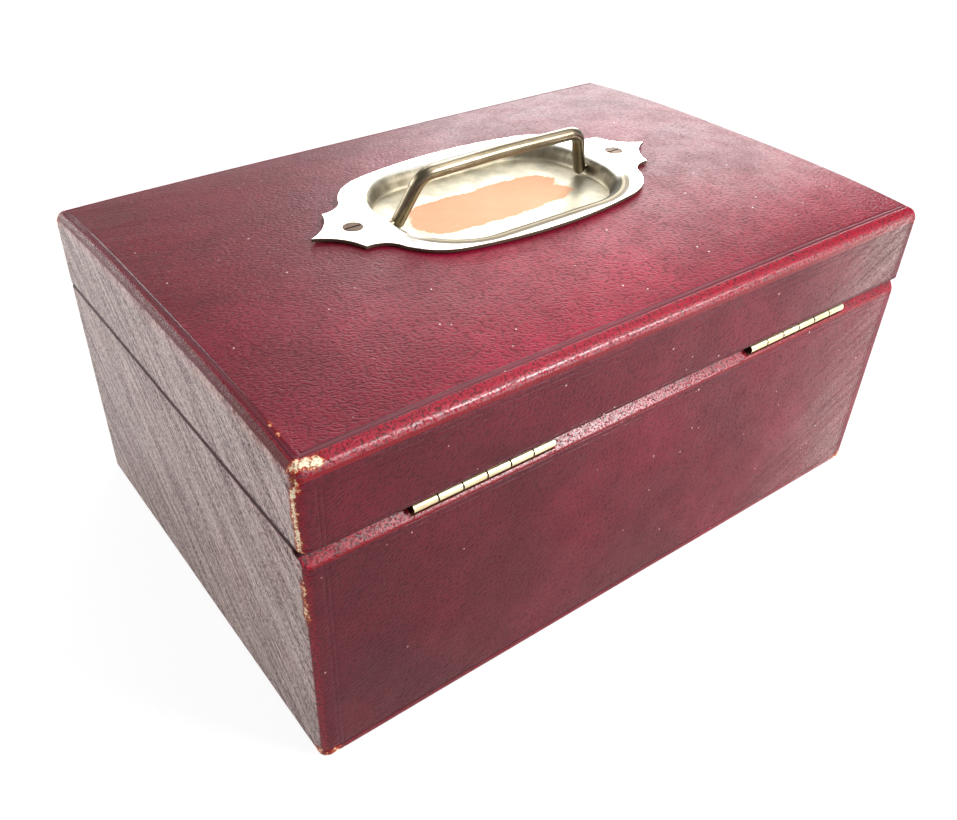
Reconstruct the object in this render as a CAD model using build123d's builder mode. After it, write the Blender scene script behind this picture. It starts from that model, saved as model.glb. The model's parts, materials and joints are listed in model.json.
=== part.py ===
"""Leather-covered jewel casket with a domed lid, a lift-out tray, a lock and a flush handle.

Millimetres. X runs along the width, Y from the front (minus) to the hinged back (plus), Z up.
The origin is on the surface that the casket stands on, under the middle of its box.
"""
from math import atan, cos, degrees, radians, sin, sqrt, tan
import os

from build123d import *

# Outside of the leather
case_width = 280.0
case_depth = 190.5
base_height = 94.0
lid_gap = 0.6
lid_side_height = 30.4
dome_rise = 8.8
end_bow = 3.0
corner_radius = 3.4
lower_edge_radius = 1.0
upper_edge_radius = 0.8
bevel = 5.0

# Carcass and covers
leather = 1.2
board = 10.0
bottom_board_thickness = 8.0
top_board_thickness = 8.0
floor_cover_thickness = 1.2
skirt_clearance = 0.4
velvet = 0.8
liner = 4.0

# Tray
tray_height = 30.0
tray_below_rim = 2.0
tray_clearance = 0.7
tray_rest_gap = 0.2
tray_wall = 4.0
tray_floor_thickness = 3.0
tray_divider = 3.0
divider_below_wall = 4.0
long_divider_y = 10.0
front_divider_x = 62.0
back_divider_x = 41.0
thumb_radius = 14.0
thumb_drop = 10.0

# Cushions
cushion_gap = 0.4
floor_pad_edge = 4.0
floor_pad_crown = 4.0
lid_pad_edge = 3.0
lid_pad_crown = 4.0
tray_pad_edge = 2.5
tray_pad_crown = 2.0
ring_roll_count = 6
ring_roll_edge = 6.0
ring_roll_roundness = 0.93
ring_roll_tuck = 1.2

# Hinges
hinge_length = 55.5
hinge_from_end = 64.7
knuckle_count = 6
knuckle_gap = 0.35
barrel_radius = 1.55
barrel_under_lid = 0.2
barrel_inset = 1.2
pin_radius = 0.75
pin_clearance = 0.05
leaf_thickness = 1.1
leaf_inset = 0.6
hinge_screw_spacing = 18.0
hinge_screw_head = 2.1
hinge_screw_shank = 1.0
hinge_screw_length = 9.0

# Handle
plate_thickness = 1.2
plate_border = 8.6
plate_shoulder_back = 9.5
plate_shoulder_drop = 4.2
plate_cusp_out = 7.3
plate_cusp_drop = 8.5
plate_point_out = 18.3
plate_point_y = 15.2
plate_tip_out = 31.2
plate_screw_out = 14.5
scallop = 2.4
plate_screw_head = 3.8
plate_screw_shank = 1.7
plate_screw_length = 11.0
screw_slot = 0.8
recess_length = 97.0
recess_width = 62.0
recess_radius = 25.0
recess_depth = 6.4
recess_slope = 1.8
pan_thickness = 0.8
pan_lip_radius = 4.5
pan_root_radius = 2.4
pan_land = 0.4
recess_clearance = 0.3
bail_wire = 2.5
bail_pivot_drop = 3.0
bail_pivot_inset = 4.4
bail_draw_in = 7.2
bail_height = 19.2
bail_bow = 0.9
bail_bend_radius = 7.0
bail_pin_radius = 1.1
bail_raised = 75.0

# Lock
lock_half_width = 31.0
lock_height = 21.0
lock_case_depth = 8.2
lock_wall = 0.9
lug_x = 16.0
lug_thickness = 2.4
lug_width = 5.2
lug_length = 12.6
lug_strap = 1.2
eye_height = 4.6
lug_clearance = 0.5
bolt_travel = 6.0
bolt_side_clearance = 0.2
bolt_bar_height = 3.2
bolt_post = 4.0
bolt_web = 1.6
horn_height = 2.6
horn_clearance = 0.7
talon_width = 3.0
talon_depth = 1.4
key_pin_radius = 0.8
key_pin_rise = 4.4
keyhole_radius = 1.7
keyhole_slot = 1.5
keyhole_drop = 5.0
face_plate_end = 6.5
face_plate_lip = 1.1
face_screw_inset = 3.2
face_screw_head = 2.1
face_screw_shank = 0.9
face_screw_length = 7.0
escutcheon_width = 15.0
escutcheon_height = 21.0
escutcheon_stand = 0.35
escutcheon_pin_radius = 0.6
escutcheon_pin_length = 5.0

# Places that follow from the sizes above
half_width = case_width / 2
half_depth = case_depth / 2
lid_bottom = base_height + lid_gap
lid_rim = lid_bottom + lid_side_height
dome_top = lid_rim + dome_rise
board_x = half_width - leather
board_y = half_depth - leather
inside_x = board_x - board
inside_y = board_y - board
rim_board_top = base_height - leather
lid_board_bottom = lid_bottom + leather
top_board_bottom = lid_rim - top_board_thickness
board_bevel = bevel - leather * (2 - sqrt(2))
inner_floor = floor_cover_thickness + bottom_board_thickness
hinge_centre = half_width - hinge_from_end
barrel_y = half_depth - barrel_inset
barrel_z = lid_bottom - barrel_under_lid - barrel_radius
plate_top = dome_top + plate_thickness
pivot_z = plate_top - bail_pivot_drop
recess_floor = plate_top - recess_depth
recess_angle = atan(recess_slope / recess_depth)
pan_reach = pan_lip_radius * tan(radians(45) - recess_angle / 2) + pan_land
plate_side = recess_width / 2 + plate_border
plate_shoulder = (recess_length / 2 - plate_shoulder_back, plate_side - plate_shoulder_drop)
plate_cusp = (recess_length / 2 + plate_cusp_out, recess_width / 2 - plate_cusp_drop)
plate_point = (recess_length / 2 + plate_point_out, plate_point_y)
plate_tip = (recess_length / 2 + plate_tip_out, 0)
plate_screw_x = recess_length / 2 + plate_screw_out
bail_pivot_x = recess_length / 2 - bail_pivot_inset
bail_bend_x = bail_pivot_x - bail_draw_in
lining_x = inside_x - velvet
lining_y = inside_y - velvet
tray_top = base_height - tray_below_rim
tray_bottom = tray_top - tray_height
liner_top = tray_bottom - tray_rest_gap
tray_x = lining_x - tray_clearance
tray_y = lining_y - tray_clearance
tray_inner_x = tray_x - tray_wall
tray_inner_y = tray_y - tray_wall
tray_floor_top = tray_bottom + tray_floor_thickness
lock_face_y = -inside_y
lock_y = lock_face_y - lock_case_depth / 2
lock_floor = rim_board_top - lock_height
lock_cavity = lock_case_depth - 2 * lock_wall
bar_bottom = lock_floor + lock_wall + bolt_side_clearance
bar_top = bar_bottom + bolt_bar_height
key_z = bar_top + key_pin_rise
eye_z = lid_bottom - lug_length + lug_strap + eye_height / 2


def span(x0, x1, y0, y1, z0, z1):
    """A plain block between these limits."""
    with BuildPart() as block:
        with Locations(((x0 + x1) / 2, (y0 + y1) / 2, (z0 + z1) / 2)):
            Box(x1 - x0, y1 - y0, z1 - z0)
    return block.part


def rounded_block(inset, bottom, top):
    """The casket's outline drawn in by inset, from bottom to top, with rounded upright corners."""
    with BuildPart() as block:
        with BuildSketch(Plane.XY.offset(bottom)):
            RectangleRounded(case_width - 2 * inset, case_depth - 2 * inset, corner_radius - inset)
        extrude(amount=top - bottom)
    return block.part


def arch(share, power):
    """Height of a flattened arch, 1 at its middle and 0 where share is 1 either way."""
    return 1 - abs(share) ** power


def crowned_body(inset):
    """What lies under the crown: arched sections along the width, lofted, lowered by inset."""
    base = lid_rim - inset
    with BuildPart() as body:
        for along in (-1.04, -1, -0.75, -0.45, 0, 0.45, 0.75, 1, 1.04):
            rise = end_bow + (dome_rise - end_bow) * arch(along, 4)
            across = (-1.06, -1, -0.7, -0.35, 0, 0.35, 0.7, 1, 1.06)
            crown = [(half_depth * y, base + rise * arch(y, 3)) for y in across]
            foot = [(half_depth * y, lid_bottom - board) for y in (across[0], across[-1])]
            with BuildSketch(Plane.YZ.offset(half_width * along)):
                with BuildLine():
                    Spline(*crown)
                    Polyline(crown[0], *foot, crown[-1])
                make_face()
        loft()
    return body.part


def crowned_block(inset, bottom):
    """The lid's outside drawn in by inset, with its crown and its rounded rim and corners."""
    x = half_width - inset
    y = half_depth - inset
    with BuildPart() as block:
        add(span(-x, x, -y, y, bottom, lid_rim + 2 * dome_rise))
        add(crowned_body(inset), mode=Mode.INTERSECT)
        rim = block.faces().sort_by(Axis.Z)[-1].edges()
        fillet(block.edges().filter_by(Axis.Z) + rim, corner_radius - inset)
    return block.part


def base_block(inset, bottom):
    """The base's outside drawn in by inset, with the bevel along its back top edge."""
    drop = bevel - inset * (2 - sqrt(2))
    top = base_height - inset
    back = half_depth - inset
    with BuildPart() as block:
        add(rounded_block(inset, bottom, top))
        with BuildSketch(Plane.YZ.offset(-half_width)):
            with BuildLine():
                Polyline((back - drop, top), (back + 1, top), (back + 1, top - drop - 1), close=True)
            make_face()
        extrude(amount=case_width, mode=Mode.SUBTRACT)
    return block.part


def ring(outer_x, outer_y, thickness, bottom, top):
    """A thin lining that follows four inside walls."""
    with BuildPart() as lining:
        add(span(-outer_x, outer_x, -outer_y, outer_y, bottom, top))
        inner_x = outer_x - thickness
        inner_y = outer_y - thickness
        add(span(-inner_x, inner_x, -inner_y, inner_y, bottom, top), mode=Mode.SUBTRACT)
    return lining.part


def cushion(width, depth, edge, crown, side=1):
    """A padded panel: flat back on the plane, drawn-in sides and a crowned face to one side."""
    with BuildPart() as pad:
        for along in (-1, -0.6, 0, 0.6, 1):
            drawn = 1 - arch(along, 4)
            rise = crown * (1 - 0.85 * drawn)
            reach = depth / 2 * (1 - 0.02 * drawn)
            waist = side * edge * (1 - 0.25 * drawn)
            with BuildSketch(Plane.YZ.offset(width / 2 * along)):
                with BuildLine():
                    ThreePointArc((-reach, waist), (0, waist + side * rise), (reach, waist))
                    Polyline((-reach, waist), (-reach, 0), (reach, 0), (reach, waist))
                make_face()
        loft()
    return pad.part


def screw(head, shank, length, slot=0.0):
    """A countersunk screw pointing down from its flat top; without a slot it is the hole for one."""
    with BuildPart() as fastener:
        with BuildSketch(Plane.XZ):
            with BuildLine():
                Polyline(
                    (0, 0),
                    (head, 0),
                    (shank, shank - head),
                    (shank, -length),
                    (0, -length),
                    close=True,
                )
            make_face()
        revolve(axis=Axis.Z)
        if slot > 0:
            Box(2 * head + 1, slot, head * 0.6, mode=Mode.SUBTRACT)
    return fastener.part


def down(x, y, z):
    """Place for a screw that goes down."""
    return Location((x, y, z))


def up(x, y, z):
    """Place for a screw that goes up."""
    return Location((x, y, z), (180, 0, 0))


def keyhole(radius, slot, drop, start, amount):
    """A keyhole cut along Y from the front at y = start, at the height of the key."""
    with BuildPart() as hole:
        with BuildSketch(Plane.XZ.offset(-start)):
            with Locations((0, key_z)):
                Circle(radius)
            with Locations((0, key_z - drop / 2)):
                Rectangle(slot, drop)
        extrude(amount=-amount)
    return hole.part


# Bodies of the base and the lid under their leather, from which the boards are cut
base_wood = base_block(leather, floor_cover_thickness)
lid_wood = crowned_block(leather, lid_board_bottom)

# Hinge leaves lie on the boards, in the thickness of the leather
leaf_front = inside_y + leaf_inset
bevel_start = board_y - board_bevel
leaf_run = board_bevel - leaf_inset
lid_leaf_back = board_y
base_screw_y = (leaf_front + bevel_start) / 2
lid_screw_y = (leaf_front + lid_leaf_back) / 2
knuckle_pitch = hinge_length / knuckle_count
hinge_sides = (1, -1)
hinge_screw_places = [
    side * hinge_centre + step * hinge_screw_spacing for side in hinge_sides for step in (-1, 0, 1)
]


def base_leaf(centre, thickness):
    """The bent leaf on the rim board and its bevel."""
    step = thickness / sqrt(2)
    mitre = thickness * tan(radians(22.5))
    with BuildPart() as leaf:
        with BuildSketch(Plane.YZ.offset(centre - hinge_length / 2)):
            with BuildLine():
                Polyline(
                    (leaf_front, rim_board_top),
                    (bevel_start, rim_board_top),
                    (bevel_start + leaf_run, rim_board_top - leaf_run),
                    (bevel_start + leaf_run + step, rim_board_top - leaf_run + step),
                    (bevel_start + mitre, rim_board_top + thickness),
                    (leaf_front, rim_board_top + thickness),
                    close=True,
                )
            make_face()
        extrude(amount=hinge_length)
    return leaf.part


def lid_leaf(centre, thickness):
    """The flat leaf in the lower edge of the lid."""
    half = hinge_length / 2
    top = lid_board_bottom
    return span(centre - half, centre + half, leaf_front, lid_leaf_back, top - thickness, top)


def knuckles(centre, first, bore):
    """Every other knuckle of a hinge, each with the web that joins it to its leaf."""
    start = centre - hinge_length / 2
    to_bevel = (barrel_y + barrel_z - bevel_start - rim_board_top) / sqrt(2)
    with BuildPart() as barrel:
        for place in range(first, knuckle_count, 2):
            left = start + place * knuckle_pitch + knuckle_gap / 2
            with BuildSketch(Plane.YZ.offset(left)):
                with Locations((barrel_y, barrel_z)):
                    Circle(barrel_radius)
                if first == 0:
                    reach = to_bevel - leaf_thickness * 0.5
                    middle = reach / 2 / sqrt(2)
                    with Locations(Location((barrel_y - middle, barrel_z - middle), 45)):
                        Rectangle(reach, barrel_radius * 1.5)
                else:
                    reach = lid_board_bottom - leaf_thickness / 2 - barrel_z
                    web = barrel_radius / 2 + (lid_leaf_back - barrel_y) / 2
                    with Locations((lid_leaf_back - web, barrel_z + reach / 2)):
                        Rectangle(web * 2, reach)
                with Locations((barrel_y, barrel_z)):
                    Circle(bore, mode=Mode.SUBTRACT)
            extrude(amount=knuckle_pitch - knuckle_gap)
    return barrel.part


def base_hinge(centre):
    """The base's half of a hinge, whose knuckles hold the pin."""
    with BuildPart() as hinge:
        add(base_leaf(centre, leaf_thickness))
        add(knuckles(centre, 0, pin_radius))
        for x in hinge_screw_places:
            place = down(x, base_screw_y, rim_board_top + leaf_thickness)
            hole = screw(hinge_screw_head, hinge_screw_shank, hinge_screw_length)
            add(hole.moved(place), mode=Mode.SUBTRACT)
    return hinge.part


def lid_hinge(centre):
    """The lid's half of a hinge, whose knuckles turn on the pin."""
    with BuildPart() as hinge:
        add(lid_leaf(centre, leaf_thickness))
        add(knuckles(centre, 1, pin_radius + pin_clearance))
        for x in hinge_screw_places:
            place = up(x, lid_screw_y, lid_board_bottom - leaf_thickness)
            hole = screw(hinge_screw_head, hinge_screw_shank, hinge_screw_length)
            add(hole.moved(place), mode=Mode.SUBTRACT)
    return hinge.part


# Lock and striker sit in the front boards, one above the other
plate_half = lock_half_width + face_plate_end
plate_front = -board_y + face_plate_lip
face_screw_x = plate_half - face_screw_inset
face_screw_y = (plate_front + lock_face_y) / 2
face_screw_places = [(side * face_screw_x, face_screw_y) for side in (-1, 1)]

# The base: boards under leather
with BuildPart() as base_front_board:
    add(base_wood)
    front = span(-board_x, board_x, -board_y, -inside_y, floor_cover_thickness, rim_board_top)
    add(front, mode=Mode.INTERSECT)
    lock_front = lock_face_y - lock_case_depth
    pocket = span(
        -lock_half_width, lock_half_width, lock_front, lock_face_y, lock_floor, rim_board_top
    )
    add(pocket, mode=Mode.SUBTRACT)
    add(keyhole(keyhole_radius, keyhole_slot, keyhole_drop, -board_y, board), mode=Mode.SUBTRACT)
    for x, y in face_screw_places:
        hole = screw(face_screw_head, face_screw_shank, face_screw_length)
        add(hole.moved(down(x, y, base_height)), mode=Mode.SUBTRACT)
base_front_board.part.label = "base_front_board"

with BuildPart() as base_back_board:
    add(base_wood)
    back = span(-board_x, board_x, inside_y, board_y, floor_cover_thickness, rim_board_top)
    add(back, mode=Mode.INTERSECT)
    for x in hinge_screw_places:
        hole = screw(hinge_screw_head, hinge_screw_shank, hinge_screw_length)
        place = down(x, base_screw_y, rim_board_top + leaf_thickness)
        add(hole.moved(place), mode=Mode.SUBTRACT)
base_back_board.part.label = "base_back_board"

with BuildPart() as base_right_board:
    add(span(inside_x, board_x, -inside_y, inside_y, floor_cover_thickness, rim_board_top))
base_right_board.part.label = "base_right_board"

with BuildPart() as base_left_board:
    add(span(-board_x, -inside_x, -inside_y, inside_y, floor_cover_thickness, rim_board_top))
base_left_board.part.label = "base_left_board"

with BuildPart() as base_bottom_board:
    add(span(-inside_x, inside_x, -inside_y, inside_y, floor_cover_thickness, inner_floor))
base_bottom_board.part.label = "base_bottom_board"

with BuildPart() as base_floor_cover:
    add(rounded_block(leather, 0, floor_cover_thickness))
base_floor_cover.part.label = "base_floor_cover"

with BuildPart() as base_leather:
    add(base_block(0, skirt_clearance))
    fillet(base_leather.faces().sort_by(Axis.Z)[0].edges(), lower_edge_radius)
    fillet(base_leather.faces().sort_by(Axis.Z)[-1].edges(), upper_edge_radius)
    add(base_wood, mode=Mode.SUBTRACT)
    add(rounded_block(leather, 0, floor_cover_thickness), mode=Mode.SUBTRACT)
    mouth = span(-inside_x, inside_x, -inside_y, inside_y, rim_board_top, base_height)
    add(mouth, mode=Mode.SUBTRACT)
    for side in hinge_sides:
        add(base_leaf(side * hinge_centre, leather), mode=Mode.SUBTRACT)
    plate_bed = span(-plate_half, plate_half, plate_front, lock_face_y, rim_board_top, base_height)
    add(plate_bed, mode=Mode.SUBTRACT)
    with BuildSketch(Plane.XZ.offset(board_y)):
        with Locations((0, key_z)):
            SlotOverall(escutcheon_height, escutcheon_width, rotation=90)
    extrude(amount=2 * leather, mode=Mode.SUBTRACT)
base_leather.part.label = "base_leather"

# Lining boards carry the tray on all four sides
with BuildPart() as front_liner:
    add(span(-inside_x, inside_x, -inside_y, -inside_y + liner, inner_floor, liner_top))
front_liner.part.label = "front_liner"

with BuildPart() as back_liner:
    add(span(-inside_x, inside_x, inside_y - liner, inside_y, inner_floor, liner_top))
back_liner.part.label = "back_liner"

with BuildPart() as right_liner:
    end = inside_y - liner
    add(span(inside_x - liner, inside_x, -end, end, inner_floor, liner_top))
right_liner.part.label = "right_liner"

with BuildPart() as left_liner:
    end = inside_y - liner
    add(span(-inside_x, -inside_x + liner, -end, end, inner_floor, liner_top))
left_liner.part.label = "left_liner"

with BuildPart() as base_wall_velvet:
    add(ring(inside_x, inside_y, velvet, liner_top, rim_board_top))
base_wall_velvet.part.label = "base_wall_velvet"

with BuildPart() as floor_pad:
    pad_x = inside_x - liner - cushion_gap
    pad_y = inside_y - liner - cushion_gap
    pad = cushion(2 * pad_x, 2 * pad_y, floor_pad_edge, floor_pad_crown)
    add(pad.moved(Location((0, 0, inner_floor))))
floor_pad.part.label = "floor_pad"

# Hinges
with BuildPart() as base_right_hinge:
    add(base_hinge(hinge_centre))
base_right_hinge.part.label = "base_right_hinge"

with BuildPart() as base_left_hinge:
    add(base_hinge(-hinge_centre))
base_left_hinge.part.label = "base_left_hinge"

with BuildPart() as hinge_pins:
    for side in hinge_sides:
        left = side * hinge_centre - hinge_length / 2 + knuckle_gap / 2
        with BuildSketch(Plane.YZ.offset(left)):
            with Locations((barrel_y, barrel_z)):
                Circle(pin_radius)
        extrude(amount=hinge_length - knuckle_gap)
hinge_pins.part.label = "hinge_pins"

with BuildPart() as base_hinge_screws:
    for x in hinge_screw_places:
        body = screw(hinge_screw_head, hinge_screw_shank, hinge_screw_length, screw_slot)
        add(body.moved(down(x, base_screw_y, rim_board_top + leaf_thickness)))
base_hinge_screws.part.label = "base_hinge_screws"

# Lock: a case let into the front board, closed by the face plate in the rim
with BuildPart() as lock_case:
    add(pocket)
    hollow = span(
        -lock_half_width + lock_wall,
        lock_half_width - lock_wall,
        lock_front + lock_wall,
        lock_face_y - lock_wall,
        lock_floor + lock_wall,
        rim_board_top,
    )
    add(hollow, mode=Mode.SUBTRACT)
    add(keyhole(keyhole_radius, keyhole_slot, keyhole_drop, lock_front, lock_wall), mode=Mode.SUBTRACT)
    with BuildSketch(Plane.XZ.offset(-lock_face_y + lock_wall / 2)):
        with Locations((0, key_z)):
            Circle(key_pin_radius)
    extrude(amount=lock_cavity)
lock_case.part.label = "lock_case"

with BuildPart() as lock_face_plate:
    add(plate_bed)
    for side in (-1, 1):
        reach_x = lug_thickness / 2 + lug_clearance
        reach_y = lug_width / 2 + lug_clearance
        slot = span(
            side * lug_x - reach_x,
            side * lug_x + reach_x,
            lock_y - reach_y,
            lock_y + reach_y,
            rim_board_top,
            base_height,
        )
        add(slot, mode=Mode.SUBTRACT)
    for x, y in face_screw_places:
        hole = screw(face_screw_head, face_screw_shank, face_screw_length)
        add(hole.moved(down(x, y, base_height)), mode=Mode.SUBTRACT)
lock_face_plate.part.label = "lock_face_plate"

with BuildPart() as lock_face_screws:
    for x, y in face_screw_places:
        body = screw(face_screw_head, face_screw_shank, face_screw_length, screw_slot)
        add(body.moved(down(x, y, base_height)))
lock_face_screws.part.label = "lock_face_screws"

# The bolt: a bar with two posts whose horns enter the eyes of the lugs
with BuildPart() as lock_bolt:
    throw_gap = lug_thickness / 2 + lug_clearance + bolt_travel
    bar_start = -lug_x - throw_gap - bolt_post
    bar_end = lug_x - throw_gap
    bar_half = lock_cavity / 2 - bolt_side_clearance
    add(span(bar_start, bar_end, lock_y - bar_half, lock_y + bar_half, bar_bottom, bar_top))
    talon = span(
        -talon_width / 2,
        talon_width / 2,
        lock_y - bar_half,
        lock_y + bar_half,
        bar_top - talon_depth,
        bar_top,
    )
    add(talon, mode=Mode.SUBTRACT)
    for side in (-1, 1):
        post_face = side * lug_x - throw_gap
        horn_tip = side * lug_x - lug_thickness / 2 - horn_clearance
        with BuildSketch(Plane.XZ.offset(-lock_y - bolt_web / 2)):
            with BuildLine():
                Polyline(
                    (post_face - bolt_post, bar_top - talon_depth),
                    (post_face, bar_top - talon_depth),
                    (post_face, eye_z - horn_height / 2),
                    (horn_tip, eye_z - horn_height / 2),
                    (horn_tip, eye_z + horn_height / 4),
                    (horn_tip - horn_height / 4, eye_z + horn_height / 2),
                    (post_face - bolt_post, eye_z + horn_height / 2),
                    close=True,
                )
            make_face()
        extrude(amount=bolt_web)
lock_bolt.part.label = "lock_bolt"

with BuildPart() as escutcheon:
    with BuildSketch(Plane.XZ.offset(board_y)):
        with Locations((0, key_z)):
            SlotOverall(escutcheon_height, escutcheon_width, rotation=90)
    extrude(amount=leather + escutcheon_stand)
    chamfer(escutcheon.faces().sort_by(Axis.Y)[0].edges(), escutcheon_stand * 0.8)
    start = -board_y - 2 * leather
    hole = keyhole(keyhole_radius, keyhole_slot, keyhole_drop, start, 3 * leather)
    add(hole, mode=Mode.SUBTRACT)
    with BuildSketch(Plane.XZ.offset(board_y)):
        with Locations((0, key_z + escutcheon_height * 0.37), (0, key_z - escutcheon_height * 0.37)):
            Circle(escutcheon_pin_radius)
    extrude(amount=3 * leather, mode=Mode.SUBTRACT)
escutcheon.part.label = "escutcheon"

with BuildPart() as escutcheon_pins:
    with BuildSketch(Plane.XZ.offset(board_y)):
        with Locations((0, key_z + escutcheon_height * 0.37), (0, key_z - escutcheon_height * 0.37)):
            Circle(escutcheon_pin_radius)
    extrude(amount=leather + escutcheon_stand)
escutcheon_pins.part.label = "escutcheon_pins"

# The lid: four rails and a domed board with a pocket for the handle pan
pan_bottom = recess_floor - pan_thickness


def pan_outline(out):
    """The rounded rectangle of the recess, made larger by a distance on every side."""
    return RectangleRounded(recess_length + 2 * out, recess_width + 2 * out, recess_radius + out)


def recess_pocket():
    """The straight-sided hole in the leather and the board that takes the pan."""
    with BuildPart() as hole:
        with BuildSketch(Plane.XY.offset(pan_bottom)):
            pan_outline(pan_reach + recess_clearance)
        extrude(amount=plate_top - pan_bottom)
    return hole.part


with BuildPart() as lid_front_rail:
    add(lid_wood)
    front = span(-board_x, board_x, -board_y, -inside_y, lid_board_bottom, top_board_bottom)
    add(front, mode=Mode.INTERSECT)
    for x, y in face_screw_places:
        hole = screw(face_screw_head, face_screw_shank, face_screw_length)
        add(hole.moved(up(x, y, lid_bottom)), mode=Mode.SUBTRACT)
lid_front_rail.part.label = "lid_front_rail"

with BuildPart() as lid_back_rail:
    add(lid_wood)
    back = span(-board_x, board_x, inside_y, board_y, lid_board_bottom, top_board_bottom)
    add(back, mode=Mode.INTERSECT)
    for x in hinge_screw_places:
        hole = screw(hinge_screw_head, hinge_screw_shank, hinge_screw_length)
        place = up(x, lid_screw_y, lid_board_bottom - leaf_thickness)
        add(hole.moved(place), mode=Mode.SUBTRACT)
lid_back_rail.part.label = "lid_back_rail"

with BuildPart() as lid_right_rail:
    add(span(inside_x, board_x, -inside_y, inside_y, lid_board_bottom, top_board_bottom))
lid_right_rail.part.label = "lid_right_rail"

with BuildPart() as lid_left_rail:
    add(span(-board_x, -inside_x, -inside_y, inside_y, lid_board_bottom, top_board_bottom))
lid_left_rail.part.label = "lid_left_rail"

with BuildPart() as lid_top_board:
    add(lid_wood)
    upper = span(-half_width, half_width, -half_depth, half_depth, top_board_bottom, plate_top)
    add(upper, mode=Mode.INTERSECT)
    add(recess_pocket(), mode=Mode.SUBTRACT)
    for side in (-1, 1):
        hole = screw(plate_screw_head, plate_screw_shank, plate_screw_length)
        add(hole.moved(down(side * plate_screw_x, 0, plate_top)), mode=Mode.SUBTRACT)
lid_top_board.part.label = "lid_top_board"

with BuildPart() as lid_leather:
    add(crowned_block(0, lid_bottom))
    fillet(lid_leather.faces().sort_by(Axis.Z)[0].edges(), lower_edge_radius)
    add(lid_wood, mode=Mode.SUBTRACT)
    mouth = span(-inside_x, inside_x, -inside_y, inside_y, lid_bottom, lid_board_bottom)
    add(mouth, mode=Mode.SUBTRACT)
    add(recess_pocket(), mode=Mode.SUBTRACT)
    for side in hinge_sides:
        add(lid_leaf(side * hinge_centre, leather), mode=Mode.SUBTRACT)
    striker_bed = span(-plate_half, plate_half, plate_front, lock_face_y, lid_bottom, lid_board_bottom)
    add(striker_bed, mode=Mode.SUBTRACT)
    for side in (-1, 1):
        with Locations((side * plate_screw_x, 0, dome_top)):
            Cylinder(plate_screw_head, 4 * leather, mode=Mode.SUBTRACT)
lid_leather.part.label = "lid_leather"

with BuildPart() as lid_wall_velvet:
    add(ring(inside_x, inside_y, velvet, lid_board_bottom, top_board_bottom))
lid_wall_velvet.part.label = "lid_wall_velvet"

with BuildPart() as lid_pad:
    pad_x = lining_x - cushion_gap
    pad_y = lining_y - cushion_gap
    pad = cushion(2 * pad_x, 2 * pad_y, lid_pad_edge, lid_pad_crown, side=-1)
    add(pad.moved(Location((0, 0, top_board_bottom))))
lid_pad.part.label = "lid_pad"

with BuildPart() as lid_right_hinge:
    add(lid_hinge(hinge_centre))
lid_right_hinge.part.label = "lid_right_hinge"

with BuildPart() as lid_left_hinge:
    add(lid_hinge(-hinge_centre))
lid_left_hinge.part.label = "lid_left_hinge"

with BuildPart() as lid_hinge_screws:
    for x in hinge_screw_places:
        body = screw(hinge_screw_head, hinge_screw_shank, hinge_screw_length, screw_slot)
        add(body.moved(up(x, lid_screw_y, lid_board_bottom - leaf_thickness)))
lid_hinge_screws.part.label = "lid_hinge_screws"


def striker_lug(x):
    """A lug that hangs from the striker plate, with an eye for the bolt's horn."""
    with BuildPart() as lug:
        with BuildSketch(Plane.YZ.offset(x - lug_thickness / 2)):
            middle = (lid_board_bottom + lid_bottom - lug_length) / 2
            with Locations((lock_y, middle)):
                Rectangle(lug_width, lug_length + leather)
            with Locations((lock_y, eye_z)):
                Rectangle(lug_width - 2 * lug_strap, eye_height, mode=Mode.SUBTRACT)
        extrude(amount=lug_thickness)
        foot = lug.edges().filter_by(Axis.X).group_by(Axis.Z)[0]
        fillet(foot, lug_strap * 0.8)
    return lug.part


with BuildPart() as striker_plate:
    add(striker_bed)
    for side in (-1, 1):
        tenon = span(
            side * lug_x - lug_thickness / 2,
            side * lug_x + lug_thickness / 2,
            lock_y - lug_width / 2,
            lock_y + lug_width / 2,
            lid_bottom,
            lid_board_bottom,
        )
        add(tenon, mode=Mode.SUBTRACT)
    for x, y in face_screw_places:
        hole = screw(face_screw_head, face_screw_shank, face_screw_length)
        add(hole.moved(up(x, y, lid_bottom)), mode=Mode.SUBTRACT)
striker_plate.part.label = "striker_plate"

with BuildPart() as striker_right_lug:
    add(striker_lug(lug_x))
striker_right_lug.part.label = "striker_right_lug"

with BuildPart() as striker_left_lug:
    add(striker_lug(-lug_x))
striker_left_lug.part.label = "striker_left_lug"

with BuildPart() as striker_screws:
    for x, y in face_screw_places:
        body = screw(face_screw_head, face_screw_shank, face_screw_length, screw_slot)
        add(body.moved(up(x, y, lid_bottom)))
striker_screws.part.label = "striker_screws"

# Flush handle: a cusped plate, a pan brazed under it, two screws and the bail
with BuildPart() as handle_plate:
    with BuildSketch(Plane.XY.offset(dome_top)) as outline:
        with BuildLine():
            left_shoulder = (-plate_shoulder[0], plate_shoulder[1])
            side_arc = ThreePointArc(left_shoulder, (0, plate_side), plate_shoulder)
            TangentArc(plate_shoulder, plate_cusp, tangent=side_arc % 1)
            SagittaArc(plate_cusp, plate_point, -scallop)
            SagittaArc(plate_point, plate_tip, -scallop)
            mirror(about=Plane.XZ)
            mirror(about=Plane.YZ)
        make_face()
    extrude(amount=plate_thickness)
    with BuildSketch(Plane.XY.offset(dome_top)):
        pan_outline(pan_reach)
    extrude(amount=plate_thickness, mode=Mode.SUBTRACT)
    for side in (-1, 1):
        hole = screw(plate_screw_head, plate_screw_shank, plate_screw_length)
        add(hole.moved(down(side * plate_screw_x, 0, plate_top)), mode=Mode.SUBTRACT)
handle_plate.part.label = "handle_plate"

bail_pin_end = recess_length / 2 + pan_thickness + recess_clearance

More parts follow.
